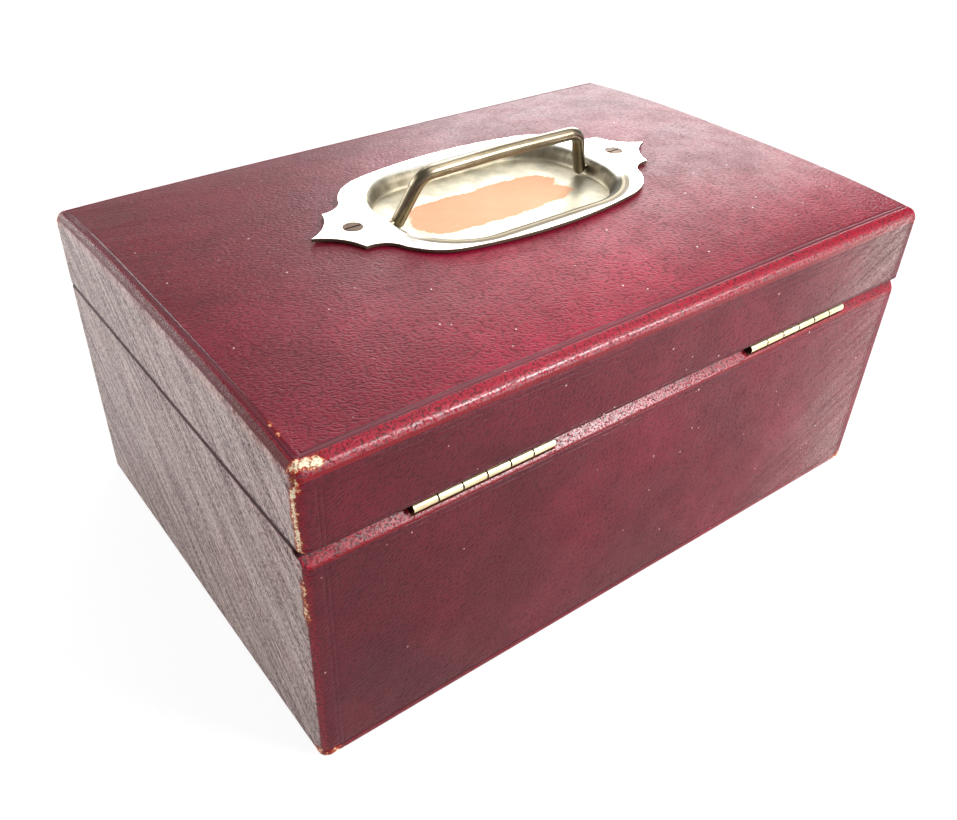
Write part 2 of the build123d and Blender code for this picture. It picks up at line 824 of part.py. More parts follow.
with BuildPart() as handle_pan:
    with BuildSketch(Plane.XY.offset(dome_top)):
        pan_outline(pan_reach)
    extrude(amount=plate_thickness)
    with BuildSketch(Plane.XY.offset(dome_top)):
        pan_outline(pan_thickness)
    extrude(amount=-(dome_top - pan_bottom), taper=degrees(recess_angle))
    root = handle_pan.faces().filter_by(Axis.Z).group_by(Axis.Z)[1][0].inner_wires()[0].edges()
    fillet(root, pan_root_radius)
    with BuildSketch(Plane.XY.offset(plate_top)):
        pan_outline(0)
    extrude(amount=-recess_depth, taper=degrees(recess_angle), mode=Mode.SUBTRACT)
    mouth_rim = handle_pan.faces().sort_by(Axis.Z)[-1].inner_wires()[0].edges()
    fillet(mouth_rim, pan_lip_radius)
    with Locations((0, 0, pivot_z)):
        pin_hole = bail_pin_radius + pin_clearance
        Cylinder(pin_hole, 2 * bail_pin_end, rotation=(0, 90, 0), mode=Mode.SUBTRACT)
handle_pan.part.label = "handle_pan"

with BuildPart() as handle_screws:
    for side in (-1, 1):
        body = screw(plate_screw_head, plate_screw_shank, plate_screw_length, screw_slot)
        add(body.moved(down(side * plate_screw_x, 0, plate_top)))
handle_screws.part.label = "handle_screws"

tilt = radians(bail_raised)
bail_plane = Plane(origin=(0, 0, pivot_z), x_dir=(1, 0, 0), z_dir=(0, -sin(tilt), cos(tilt)))

with BuildPart() as bail_handle:
    with BuildLine(bail_plane) as route:
        FilletPolyline(
            (-bail_pivot_x, 0),
            (-bail_bend_x, bail_height - bail_bow),
            (0, bail_height),
            (bail_bend_x, bail_height - bail_bow),
            (bail_pivot_x, 0),
            radius=[bail_bend_radius, bail_bend_x * 10, bail_bend_radius],
        )
    with BuildSketch(Plane(origin=route.line @ 0, z_dir=route.line % 0)):
        Circle(bail_wire)
    sweep()
    for side in (-1, 1):
        with Locations((side * bail_pivot_x, 0, pivot_z)):
            Sphere(bail_wire)
        pin_length = bail_pin_end - bail_pivot_x
        with Locations((side * (bail_pivot_x + pin_length / 2), 0, pivot_z)):
            Cylinder(bail_pin_radius, pin_length, rotation=(0, 90, 0))
bail_handle.part.label = "bail_handle"

# The tray: walls, floor and dividers, with cushions in its compartments
with BuildPart() as tray_front_wall:
    add(span(-tray_x, tray_x, -tray_y, -tray_inner_y, tray_bottom, tray_top))
tray_front_wall.part.label = "tray_front_wall"

with BuildPart() as tray_back_wall:
    add(span(-tray_x, tray_x, tray_inner_y, tray_y, tray_bottom, tray_top))
tray_back_wall.part.label = "tray_back_wall"


def tray_end_wall(side):
    """An end wall with a scoop in its top edge for the thumb."""
    with BuildPart() as wall:
        add(span(tray_inner_x, tray_x, -tray_inner_y, tray_inner_y, tray_bottom, tray_top))
        with Locations((tray_x, 0, tray_top - thumb_drop + thumb_radius)):
            Cylinder(thumb_radius, 4 * tray_wall, rotation=(0, 90, 0), mode=Mode.SUBTRACT)
    return wall.part if side > 0 else mirror(wall.part, about=Plane.YZ)


with BuildPart() as tray_right_wall:
    add(tray_end_wall(1))
tray_right_wall.part.label = "tray_right_wall"

with BuildPart() as tray_left_wall:
    add(tray_end_wall(-1))
tray_left_wall.part.label = "tray_left_wall"

with BuildPart() as tray_floor:
    add(span(-tray_inner_x, tray_inner_x, -tray_inner_y, tray_inner_y, tray_bottom, tray_floor_top))
tray_floor.part.label = "tray_floor"

divider_top = tray_top - divider_below_wall
half_divider = tray_divider / 2
front_bay_back = long_divider_y - half_divider
back_bay_front = long_divider_y + half_divider

with BuildPart() as tray_long_divider:
    add(span(-tray_inner_x, tray_inner_x, front_bay_back, back_bay_front, tray_floor_top, divider_top))
tray_long_divider.part.label = "tray_long_divider"


def cross_divider(x, y0, y1):
    """A divider that runs from front to back."""
    return span(x - half_divider, x + half_divider, y0, y1, tray_floor_top, divider_top)


with BuildPart() as tray_front_right_divider:
    add(cross_divider(front_divider_x, -tray_inner_y, front_bay_back))
tray_front_right_divider.part.label = "tray_front_right_divider"

with BuildPart() as tray_front_left_divider:
    add(cross_divider(-front_divider_x, -tray_inner_y, front_bay_back))
tray_front_left_divider.part.label = "tray_front_left_divider"

with BuildPart() as tray_back_right_divider:
    add(cross_divider(back_divider_x, back_bay_front, tray_inner_y))
tray_back_right_divider.part.label = "tray_back_right_divider"

with BuildPart() as tray_back_left_divider:
    add(cross_divider(-back_divider_x, back_bay_front, tray_inner_y))
tray_back_left_divider.part.label = "tray_back_left_divider"

front_bay = front_bay_back + tray_inner_y
ring_pitch = (front_bay - 2 * cushion_gap) / ring_roll_count


def ring_roll(length, width):
    """One stuffed roll: flat beneath, straight low sides, a round top and tucked ends."""
    with BuildPart() as roll:
        with BuildSketch(Plane.YZ.offset(-length / 2)):
            with BuildLine():
                side = (width / 2, ring_roll_edge)
                top = (0, ring_roll_edge + ring_roll_roundness * side[0])
                ThreePointArc((-side[0], side[1]), top, side)
                Polyline((-side[0], side[1]), (-side[0], 0), (side[0], 0), side)
            make_face()
        extrude(amount=length)
        ends = roll.edges().filter_by(GeomType.CIRCLE)
        chamfer(ends, ring_roll_tuck)
    return roll.part


with BuildPart() as ring_rolls:
    roll_length = 2 * (front_divider_x - half_divider - cushion_gap)
    roll = ring_roll(roll_length, ring_pitch - cushion_gap)
    for place in range(ring_roll_count):
        y = -tray_inner_y + cushion_gap + ring_pitch * (place + 0.5)
        add(roll.moved(Location((0, y, tray_floor_top))))
ring_rolls.part.label = "ring_rolls"


def tray_pad(x0, x1, y0, y1):
    """A thin cushion in a compartment with these walls."""
    width = x1 - x0 - 2 * cushion_gap
    depth = y1 - y0 - 2 * cushion_gap
    pad = cushion(width, depth, tray_pad_edge, tray_pad_crown)
    return pad.moved(Location(((x0 + x1) / 2, (y0 + y1) / 2, tray_floor_top)))


with BuildPart() as tray_pads:
    add(tray_pad(-tray_inner_x, -front_divider_x - half_divider, -tray_inner_y, front_bay_back))
    add(tray_pad(front_divider_x + half_divider, tray_inner_x, -tray_inner_y, front_bay_back))
    add(tray_pad(-tray_inner_x, -back_divider_x - half_divider, back_bay_front, tray_inner_y))
    add(tray_pad(-back_divider_x + half_divider, back_divider_x - half_divider, back_bay_front, tray_inner_y))
    add(tray_pad(back_divider_x + half_divider, tray_inner_x, back_bay_front, tray_inner_y))
tray_pads.part.label = "tray_pads"

pieces = [
    base_front_board,
    base_back_board,
    base_right_board,
    base_left_board,
    base_bottom_board,
    base_floor_cover,
    base_leather,
    front_liner,
    back_liner,
    right_liner,
    left_liner,
    base_wall_velvet,
    floor_pad,
    base_right_hinge,
    base_left_hinge,
    hinge_pins,
    base_hinge_screws,
    lock_case,
    lock_face_plate,
    lock_face_screws,
    lock_bolt,
    escutcheon,
    escutcheon_pins,
    lid_front_rail,
    lid_back_rail,
    lid_right_rail,
    lid_left_rail,
    lid_top_board,
    lid_leather,
    lid_wall_velvet,
    lid_pad,
    lid_right_hinge,
    lid_left_hinge,
    lid_hinge_screws,
    striker_plate,
    striker_right_lug,
    striker_left_lug,
    striker_screws,
    handle_plate,
    handle_pan,
    handle_screws,
    bail_handle,
    tray_front_wall,
    tray_back_wall,
    tray_right_wall,
    tray_left_wall,
    tray_floor,
    tray_long_divider,
    tray_front_right_divider,
    tray_front_left_divider,
    tray_back_right_divider,
    tray_back_left_divider,
    ring_rolls,
    tray_pads,
]

os.makedirs("parts", exist_ok=True)
for piece in pieces:
    export_step(piece.part, f"parts/{piece.part.label}.step")
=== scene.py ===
"""Looks of a leather-covered jewel casket with a domed lid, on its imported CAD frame.

Metres. X runs along the width, Y from the locked front to the hinged back, Z up.
"""
import json
from math import cos, pi, radians, sin, sqrt

import bmesh
import bpy
import numpy as np
from mathutils import Matrix, Vector


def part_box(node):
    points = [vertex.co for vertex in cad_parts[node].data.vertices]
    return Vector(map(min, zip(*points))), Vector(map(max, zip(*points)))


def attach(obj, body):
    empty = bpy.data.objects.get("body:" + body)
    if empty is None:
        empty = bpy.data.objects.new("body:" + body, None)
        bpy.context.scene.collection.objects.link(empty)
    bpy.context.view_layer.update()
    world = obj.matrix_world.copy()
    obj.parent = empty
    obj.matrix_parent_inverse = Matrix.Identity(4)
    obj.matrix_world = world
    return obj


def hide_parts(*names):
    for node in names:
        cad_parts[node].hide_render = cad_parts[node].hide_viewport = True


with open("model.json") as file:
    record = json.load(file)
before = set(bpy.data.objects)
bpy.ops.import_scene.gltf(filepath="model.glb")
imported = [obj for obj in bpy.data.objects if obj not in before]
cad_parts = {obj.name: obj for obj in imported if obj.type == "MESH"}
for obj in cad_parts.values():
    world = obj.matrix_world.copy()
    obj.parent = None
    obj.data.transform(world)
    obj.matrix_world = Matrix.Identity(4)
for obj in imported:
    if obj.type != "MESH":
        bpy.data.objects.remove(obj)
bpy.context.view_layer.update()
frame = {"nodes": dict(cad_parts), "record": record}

nodes = frame["nodes"]
scene = bpy.context.scene
mm = 0.001

# Places read from the frame
lid_low, lid_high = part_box("lid_leather")
half_width, half_depth = lid_high.x, lid_high.y
lid_bottom = lid_low.z
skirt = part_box("base_leather")[0].z
base_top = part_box("base_leather")[1].z
board_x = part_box("base_front_board")[1].x
leather = half_width - board_x
board_y = half_depth - leather
inside_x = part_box("base_bottom_board")[1].x
plate_low, plate_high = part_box("handle_plate")
dome_top = plate_low.z
pan_low, pan_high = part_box("handle_pan")
hinge_low, hinge_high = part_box("base_right_hinge")

# Handle and hinges, where the frame doesn't give them
pan_thickness = 0.8 * mm
pan_clearance = 0.3 * mm
recess_half_x, recess_half_y, recess_round = 48.5 * mm, 31 * mm, 25 * mm
recess_floor = pan_low.z + pan_thickness
# Where the painted shade along the near side of the plate's mouth fades out
mouth_shade_band = (5.2 * mm, 6 * mm)
knuckle_count = 6
knuckle_pitch = (hinge_high.x - hinge_low.x) / knuckle_count
barrel_round = 1.55 * mm
barrel_inset = 1.2 * mm
barrel_under_lid = 0.2 * mm
hinge_axis = (half_depth - barrel_inset, lid_bottom - barrel_under_lid - barrel_round)

# Form of the leather
lid_rim = lid_bottom + 30.4 * mm
end_bow = 3 * mm
corner_round = 3.4 * mm
rim_round = 4.8 * mm
lower_round = 1 * mm
upper_round = 0.8 * mm
bevel = 5 * mm
pan_hole_x, pan_hole_y = pan_high.x + pan_clearance, pan_high.y + pan_clearance
pan_hole_round = 29.1 * mm
least_round = 0.25 * mm
corner_run = 0.41
steady_share = 0.88
border_width = 12 * mm
unevenness = 0.05 * mm
skin_gap = 0.02 * mm
on_face = 0.6 * mm
wear_spread = 1.6

# Steps of the grids
grid_pitch = 1.85 * mm
crown_rows, border_rows, rim_rows = 44, 22, 14

# Blind tooling: a burnished band round the crown, bands and lines on the walls
band_at_sides = (4.5 * mm, 5.9 * mm)
band_at_ends = (2.9 * mm, 4.1 * mm)
wall_band = (4.9 * mm, 6.9 * mm)
wall_line = 9.6 * mm
round_zone = 4.3 * mm
edge_line = 1.9 * mm
corner_lines = (6.6 * mm, 8.2 * mm)
low_line = 3.4 * mm
line_width = 0.22 * mm
line_depth = 0.22 * mm
band_depth = 0.1 * mm


# Surfaces are grids of points, rows by columns, computed as whole arrays


def stations(low, high, pitch, extra):
    """Even steps of about pitch from low to high, with the extra places that lie between."""
    even = np.linspace(low, high, int(round((high - low) / pitch)) + 1)
    inner = extra[(extra > low + 0.02 * mm) & (extra < high - 0.02 * mm)]
    return np.unique(np.round(np.concatenate([even, inner]), 7))


def put(name, data):
    """A new object with this data, in the scene."""
    made = bpy.data.objects.new(name, data)
    scene.collection.objects.link(made)
    return made


class Outline:
    """A rounded rectangle as columns of a grid, anticlockwise from above, starting on the back side.

    A column has a place (along_x, along_y) on the rectangle of corner centres and an outward
    normal (out_x, out_y). Drawn in by inset, its point is place + radius * normal, where the
    places shrink with the rectangle and the radius is the corner radius less the inset.
    """

    def __init__(self, half_x, half_y, radius, across, deep, turn=7):
        self.half_x, self.half_y, self.radius = half_x, half_y, radius
        reach_x, reach_y = half_x - radius, half_y - radius
        corner = np.linspace(0, pi / 2, turn + 2)[1:-1]
        along_x, along_y, angle = [], [], []
        for side, (x, y, corner_x, corner_y) in enumerate((
            (across[::-1], reach_y, -reach_x, reach_y),
            (-reach_x, deep[::-1], -reach_x, -reach_y),
            (across, -reach_y, reach_x, -reach_y),
            (reach_x, deep, reach_x, reach_y),
        )):
            count = max(np.size(x), np.size(y))
            outwards = pi / 2 * (side + 1)
            along_x += [np.full(count, x), np.full(turn, corner_x)]
            along_y += [np.full(count, y), np.full(turn, corner_y)]
            angle += [np.full(count, outwards), outwards + corner]
        self.along_x, self.along_y = np.concatenate(along_x), np.concatenate(along_y)
        turned = np.concatenate(angle)
        self.out_x, self.out_y = np.cos(turned).round(9), np.sin(turned).round(9)
        self.reach_x, self.reach_y = reach_x, reach_y

    def at(self, inset):
        """Points drawn in by inset, an array of rows by columns or rows by one; places nearer to the
        middle than the steady share of the side stay where they are, and the rest close up to them."""
        radius = np.maximum(self.radius - inset, least_round)
        points = []
        for along, reach, half in (
            (self.along_x, self.reach_x, self.half_x),
            (self.along_y, self.reach_y, self.half_y),
        ):
            fixed = steady_share * reach
            closing = (half - inset - radius - fixed) / (reach - fixed)
            far = np.maximum(np.abs(along) - fixed, 0)
            points.append(np.sign(along) * (np.minimum(np.abs(along), fixed) + far * closing))
        return points[0] + radius * self.out_x, points[1] + radius * self.out_y


def solid(name, grid, body):
    """A mesh from rows by columns of points, closed round its columns and from its last row to its
    first, turned so that its faces look outwards."""
    rows, columns = grid.shape[:2]
    row, column = np.meshgrid(np.arange(rows), np.arange(columns), indexing="ij")
    below, beside = (row + 1) % rows, (column + 1) % columns
    quads = np.stack(
        [row * columns + column, row * columns + beside, below * columns + beside, below * columns + column],
        axis=-1,
    ).reshape(-1, 4)
    points = grid.reshape(-1, 3)
    a, b, c, d = (points[quads[:, k]] for k in range(4))
    volume = np.einsum("ij,ij->i", a, np.cross(b, c) + np.cross(c, d)).sum()
    if volume < 0:
        quads = quads[:, ::-1]
    mesh = bpy.data.meshes.new(name)
    mesh.vertices.add(len(points))
    mesh.vertices.foreach_set("co", points.astype(np.float32).ravel())
    mesh.loops.add(quads.size)
    mesh.loops.foreach_set("vertex_index", quads.astype(np.int32).ravel())
    mesh.polygons.add(len(quads))
    mesh.polygons.foreach_set("loop_start", np.arange(0, quads.size, 4, dtype=np.int32))
    mesh.polygons.foreach_set("use_smooth", np.ones(len(quads), bool))
    mesh.update(calc_edges=True)
    mesh.validate()
    piece = put(name, mesh)
    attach(piece, body)
    return piece, quads


def mark(piece, name, values):
    """A number at each point of a mesh, for its finish to read."""
    layer = piece.data.attributes.new(name, "FLOAT", "POINT")
    layer.data.foreach_set("value", np.asarray(values, np.float32).ravel())


def bell(value, centre, width):
    """A smooth rise to 1 at centre and back to 0 about two widths away."""
    return np.exp(-(((value - centre) / width) ** 2))


def step(value, start, end):
    """A smooth rise from 0 at start to 1 at end."""
    share = np.clip((value - start) / (end - start), 0, 1)
    return share * share * (3 - 2 * share)


# Leather of the lid and the base


def crown(x, y):
    """Height of the lid above its rim: an arch of the third power front to back, on a bow of the
    fourth power from end to end."""
    rise = end_bow + (dome_top - lid_rim - end_bow) * (1 - np.abs(x / half_width) ** 4)
    return rise * (1 - np.abs(y / half_depth) ** 3)


def crown_ring(outline, under, radius):
    """Rows from the pan's hole out over the crown and round the rim to the wall. On the crown a row
    is a blend from the hole's outline to the casket's; round the rim it is an arc that touches the
    wall and the slope of the crown. The whole is lowered by under."""
    hole_x = outline.along_x * (pan_hole_x - pan_hole_round) / outline.reach_x
    hole_y = outline.along_y * (pan_hole_y - pan_hole_round) / outline.reach_y
    hole_x = hole_x + pan_hole_round * outline.out_x
    hole_y = hole_y + pan_hole_round * outline.out_y
    probe = 0.3 * radius
    x0, y0 = outline.at(np.array([[probe]]))
    x1, y1 = outline.at(np.array([[3 * probe]]))
    run = 2 * probe * (1 + corner_run * (np.abs(outline.out_x * outline.out_y) > 0.01))
    slope = np.arctan((crown(x1, y1) - crown(x0, y0)) / run)
    start = radius * (1 - np.sin(slope))
    x2, y2 = outline.at(start)
    edge = lid_rim - under + crown(x2, y2)
    centre = edge - radius * np.cos(slope)
    frame_x, frame_y = outline.at(np.array([[border_width]]))
    blend = np.linspace(0, 1, crown_rows)[:, None]
    x = hole_x + (frame_x - hole_x) * blend
    y = hole_y + (frame_y - hole_y) * blend
    top = np.stack([x, y, lid_rim - under + crown(x, y)], axis=-1)
    finer = 0.5 + np.arange(1, border_rows) * 0.5 / border_rows
    share = np.concatenate([np.arange(1, 6) * 0.1, finer])[:, None]
    near = border_width + (start - border_width) * share
    x, y = outline.at(near)
    border = np.stack([x, y, lid_rim - under + crown(x, y)], axis=-1)
    turn = (1 - np.linspace(0, 1, rim_rows)[:, None]) * (pi / 2 - slope)
    x, y = outline.at(radius * (1 - np.cos(turn)))
    rim = np.stack([x, y, centre + radius * np.sin(turn)], axis=-1)
    return np.concatenate([top, border, rim])


def wall(outline, heights):
    """Rows straight up or down the wall at these heights."""
    x, y = outline.at(np.zeros((1, 1)))
    z = np.asarray(heights)[:, None] * np.ones_like(x)
    return np.stack([x * np.ones_like(z), y * np.ones_like(z), z], axis=-1)


def level(outline, insets, height):
    """Rows at one height, drawn in by each inset."""
    x, y = outline.at(np.asarray(insets)[:, None])
    return np.stack([x, y, np.full_like(x, height)], axis=-1)


def quarter(outline, radius, height, start, end):
    """Rows round an edge: an arc of radius about a line at this height, from start to end degrees
    above the outward direction."""
    turn = np.radians(np.linspace(start, end, 5))[:, None]
    x, y = outline.at(radius * (1 - np.cos(turn)))
    return np.stack([x, y, height + radius * np.sin(turn) * np.ones_like(x)], axis=-1)


def heights_with(low, high, pitch, lines):
    """Heights from high to low with more of them close to each line."""
    near = np.concatenate([line + np.array([-3, -2, -1, 0, 1, 2, 3]) * line_width / 2 for line in lines])
    return -stations(-high, -low, pitch, -near)


def places(points):
    """The points' x, y and z, and how far each is inside the nearer end and the nearer side."""
    x, y, z = points[..., 0], points[..., 1], points[..., 2]
    return x, y, z, half_width - np.abs(x), half_depth - np.abs(y)


def wavering(points):
    """A slow unevenness between -1 and 1, as glued leather has over boards: a sum of sine waves."""
    x, y, z = places(points)[:3]
    waves = np.sin(61 * x + 23 * y + 17 * z) + np.sin(37 * x - 71 * y + 41 * z + 1.7)
    waves = waves + np.sin(113 * x + 97 * y - 59 * z + 0.6) + np.sin(-83 * x + 49 * y + 127 * z + 2.9)
    return waves / 4


def near_lines(points):
    """Marks for the tooling: how far a point is inside a burnished band, and inside a pressed line."""
    x, y, z, from_end, from_side = places(points)
    on_top = step(z - lid_rim, -1.2 * mm, 0.2 * mm)
    on_top = on_top * step(np.minimum(from_end, from_side), 1.6 * mm, 2.4 * mm)
    soft = 0.3 * mm
    band = np.zeros_like(x)
    line = np.zeros_like(x)
    for away, other, (near, far), stop in (
        (from_side, from_end, band_at_sides, band_at_ends[0]),
        (from_end, from_side, band_at_ends, band_at_sides[0]),
    ):
        here = on_top * step(other, stop - soft, stop + soft)
        band = np.maximum(band, here * step(away, near - soft, near) * (1 - step(away, far, far + soft)))
        for place in (near, far):
            line = np.maximum(line, here * bell(away, place, line_width))
    on_wall = (from_end < on_face) | (from_side < on_face)
    beside = np.where(from_side < on_face, from_end, from_side)
    inside = step(beside, corner_lines[0] - soft, corner_lines[0])
    for top, bottom, upright_from in ((lid_rim, lid_bottom, 7.4 * mm), (base_top, skirt, 2 * mm)):
        here = on_wall & (z > bottom - 0.5 * mm) & (z < top)
        down, up = top - z, z - bottom
        if top == lid_rim:
            rules = [(0.7, down, place) for place in wall_band]
            rules += [(0.6 * inside, down, wall_line), (0.8, up, edge_line)]
        else:
            start = np.where(y > half_depth - on_face, bevel + 0.7 * mm, edge_line)
            rules = [(0.8, down, start), (0.7, down, start + edge_line), (0.7, up, low_line)]
        upright = step(down, upright_from, 9 * mm)
        rules += [(0.55 * upright, beside, place) for place in corner_lines]
        for strength, away, place in rules:
            line = np.maximum(line, here * strength * bell(away, place, line_width))
    return band, line


def worn_places(points):
    """How worn the leather is: a smooth rise round each stroke. A stroke has its two ends and its
    radius, in millimetres, and its strength."""
    x, y, z, rim, low = (length / mm for length in (half_width, half_depth, lid_rim, base_top, skirt))
    strokes = (
        ((x - 0.5, y - 2.5, z + 0.5), (x - 8, y - 1.5, z - 0.2), 1.7, 1.0),
        ((x + 0.2, y - 1, z - 3.5), (x, y - 0.5, z - 7), 1.3, 0.8),
        ((x, y - 2.2, z - 8), (x, y - 1.7, z - 29), 0.9, 0.95),
        ((x, y - 1.6, rim - 11), (x, y - 1.4, rim - 28), 0.9, 0.85),
        ((x, y, low + 0.5), (x - 5, y, low + 0.5), 1.8, 0.8),
        ((x, y - 5, low), (x, y, low + 4), 1.6, 0.75),
        ((-x, y, low + 0.5), (5 - x, y, low + 0.5), 1.8, 0.85),
        ((-x, y - 1, z - 2), (2 - x, y, z - 6), 1.2, 0.75),
        ((x - 1, 1 - y, z - 1), (x, 3 - y, z - 4), 1.4, 0.85),
        ((-x, -y, z - 1), (6 - x, -y, z - 2), 1.8, 0.85),
        ((x, -y, low), (x - 4, -y, low + 1), 2.0, 0.85),
        ((x, 1 - y, low + 14), (x, 1 - y, low + 24), 0.9, 0.8),
        ((-x, -y, low), (4 - x, -y, low + 1), 1.8, 0.8),
        ((-x, 1 - y, rim - 4), (-x, 1 - y, rim - 12), 0.9, 0.7),
        ((x - 4.6, y - 23, z + 1.2), (x - 4.4, y - 13, z + 0.7), 0.55, 0.95),
    )
    worn = np.zeros(points.shape[:-1])
    for start, end, radius, strength in strokes:
        start, run = np.array(start) * mm, (np.array(end) - np.array(start)) * mm
        share = np.clip(((points - start) @ run) / (run @ run), 0, 1)
        away = np.linalg.norm(points - start - share[..., None] * run, axis=-1)
        worn = np.maximum(worn, strength * bell(away, 0, radius * wear_spread * mm))
    return worn


def glazed_edges(points):
    """Marks for the handled edges: how far a point is on a rounded or bevelled edge, where the grain is
    polished and the finish paints it partly brighter, as painted light; where the back rim and the bevel
    shine; on the dark strip under the rim highlight, along the end rims and at the foot of the bevel,
    which is painted shade; and in the painted shade of the seam between lid and base, under the lid
    and on the lid's lower edge."""
    _, y, z, from_end, from_side = places(points)
    nearest = np.minimum(from_end, from_side)
    rim = step(z, lid_rim - round_zone - 0.5 * mm, lid_rim - round_zone + 0.3 * mm)
    rim = rim * (1 - step(nearest, round_zone - 0.6 * mm, round_zone))
    upright = (1 - step(from_end, 1 * mm, 3.2 * mm)) * (1 - step(from_side, 1 * mm, 3.2 * mm))
    at_back = y > half_depth - bevel - mm
    foot = np.where(at_back, bevel + 0.5 * mm, 1 * mm)
    on_base = z < base_top + 0.2 * mm
    base_rim = on_base * step(z, base_top - foot - 0.5 * mm, base_top - foot)
    low_rim = (1 - step(z, skirt + 0.8 * mm, skirt + 1.4 * mm)) * on_base
    lid_foot = (~on_base) * (1 - step(z, lid_bottom + 0.9 * mm, lid_bottom + 1.4 * mm))
    at_end = rim * step(from_side - from_end, 0, 2 * mm)
    polished = rim * (1 - at_end * step(from_end, 1.8 * mm, 3 * mm))
    edge = np.maximum.reduce([polished, 0.8 * upright, base_rim, low_rim, lid_foot])
    under_lid = on_base * step(z, base_top - 2.2 * mm, base_top - 1.5 * mm) * at_back
    seam = on_base * step(z, base_top - 0.7 * mm, base_top - 0.4 * mm)
    shade = np.maximum.reduce([lid_foot, under_lid, seam])
    turn = (z - lid_rim + rim_round) / rim_round
    gloss = rim * step(turn, 0.38, 0.5) * (1 - step(turn, 0.7, 0.82)) * (1 - at_end)
    on_bevel = base_rim * at_back * step(z, base_top - bevel - 0.2 * mm, base_top - bevel + 0.6 * mm)
    gloss = np.maximum(gloss, 0.22 * on_bevel * (1 - under_lid))
    # Painted shade: dark strips below the rim highlight, along the end rims and at the bevel's foot.
    dark = rim * (1 - step(turn, 0.36, 0.5)) * (1 - at_end)
    strip = at_end * step(from_end, 0.2 * mm, 0.5 * mm) * (1 - step(from_end, 1.7 * mm, 2.6 * mm))
    dark = np.maximum(dark, strip)
    shade = np.maximum(shade, 0.5 * strip)
    dark = np.maximum(dark, base_rim * bell(z, base_top - bevel - 0.1 * mm, 0.45 * mm) * at_back)
    return edge, gloss, dark, shade


def bloom_and_sheen_greying(points):
    """How far the leather is painted grey, partly as its glaze blooming and partly as painted sheen, the
    grey of light glancing off it: strongly on the right end, less on the left one, and a little low on
    the walls, towards the left of the back, and on the right front of the crown."""
    x, y, z, from_end, from_side = places(points)
    inside = step(from_side, 0.9 * mm, 2.1 * mm)
    ends = (1 - step(from_end, 0.25 * mm, 0.55 * mm)) * inside * np.where(x > 0, 1, 0.4)
    along = step(-x, 40 * mm, 150 * mm)
    low = 1 - step(z, 5 * mm, 70 * mm)
    on_lid = z > lid_bottom
    walls = (0.3 + 0.14 * on_lid) * along * (y > 0) + 0.1 * low
    walls = (from_side < on_face) * walls * step(from_end, 2 * mm, 8 * mm)
    faded = 0.16 * step(0.6 * x - y, -20 * mm, 150 * mm) * step(z, lid_rim - mm, lid_rim + mm)
    return np.maximum.reduce([ends, walls, faded])


def dye_and_painted_shade_depth(points):
    """How dark the leather is painted, mostly as painted shade and light rather than dye: dark on the
    walls, and on the crown paler towards the back and darker towards the right end, most pale in a patch
    a little right of the middle, where the light from the hinge side falls; the walls also vary slowly."""
    x, y, z = places(points)[:3]
    patch = bell(x, 25 * mm, 55 * mm) * bell(y, 78 * mm, 42 * mm)
    crown_share = step(z, lid_rim - 6 * mm, lid_rim - mm)
    on_crown = 0.53 + 0.1 * np.maximum(x, 0) / half_width - 0.1 * y / half_depth - 0.26 * patch
    on_wall = 0.69 + 0.1 * x / half_width + 0.05 * wavering(points)
    on_wall = on_wall + 0.12 * step(-x, 20 * mm, 120 * mm) * (z > lid_bottom)
    return on_wall + (on_crown - on_wall) * crown_share


# Grain direction on each face of the casket: along the grain, in the plane of the face
grain_top = np.array([-0.883, 0.469, 0.0])
grain_back = np.array([-0.912, 0.0, 0.410])
grain_end = np.array([0.0, 0.731, -0.682])
face_normals = np.array([[0, 0, 1], [0, 1, 0], [1, 0, 0], [0, -1, 0], [-1, 0, 0]], float)
face_grains = np.array([grain_top, grain_back, grain_end, grain_back * [-1, 1, 1], grain_end])


def lay_grain(piece, quads):
    """A UV map in metres: each face takes its points' places along and across the grain direction of
    the side of the casket that it faces most."""
    points = np.zeros(len(piece.data.vertices) * 3, np.float32)
    piece.data.vertices.foreach_get("co", points)
    points = points.reshape(-1, 3).astype(float)
    corners = points[quads]
    normal = np.cross(corners[:, 2] - corners[:, 0], corners[:, 3] - corners[:, 1])
    side = np.argmax(normal @ face_normals.T, axis=1)
    along = face_grains[side]
    across = np.cross(face_normals[side], along)
    u = np.einsum("ijk,ik->ij", corners, along)
    v = np.einsum("ijk,ik->ij", corners, across)
    uv = piece.data.uv_layers.new(name="grain")
    uv.data.foreach_set("uv", np.stack([u, v], axis=-1).astype(np.float32).ravel())


def finish_leather(piece, quads, grid, outer_rows):
    """Puts on a skin the marks and the grain directions that its finish reads."""
    band, line = near_lines(grid)
    shown = np.zeros(grid.shape[:2])
    shown[outer_rows] = 1
    edge, gloss, dark, shade = glazed_edges(grid)
    # The dark and shade marks carry painted shade, deep carries painted shade and light, and the grey of the
    # ends is partly painted sheen.
    outer_marks = {
        "band": band, "line": line, "worn": worn_places(grid), "edge": edge, "gloss": gloss, "dark": dark,
        "bloom_and_sheen": bloom_and_sheen_greying(grid),
    }
    for name, values in outer_marks.items():
        mark(piece, name, values * shown)
    mark(piece, "shade", shade)
    # Painted shade and light: walls darker than the crown, the crown paler towards the back.
    mark(piece, "deep", dye_and_painted_shade_depth(grid))
    lay_grain(piece, quads)


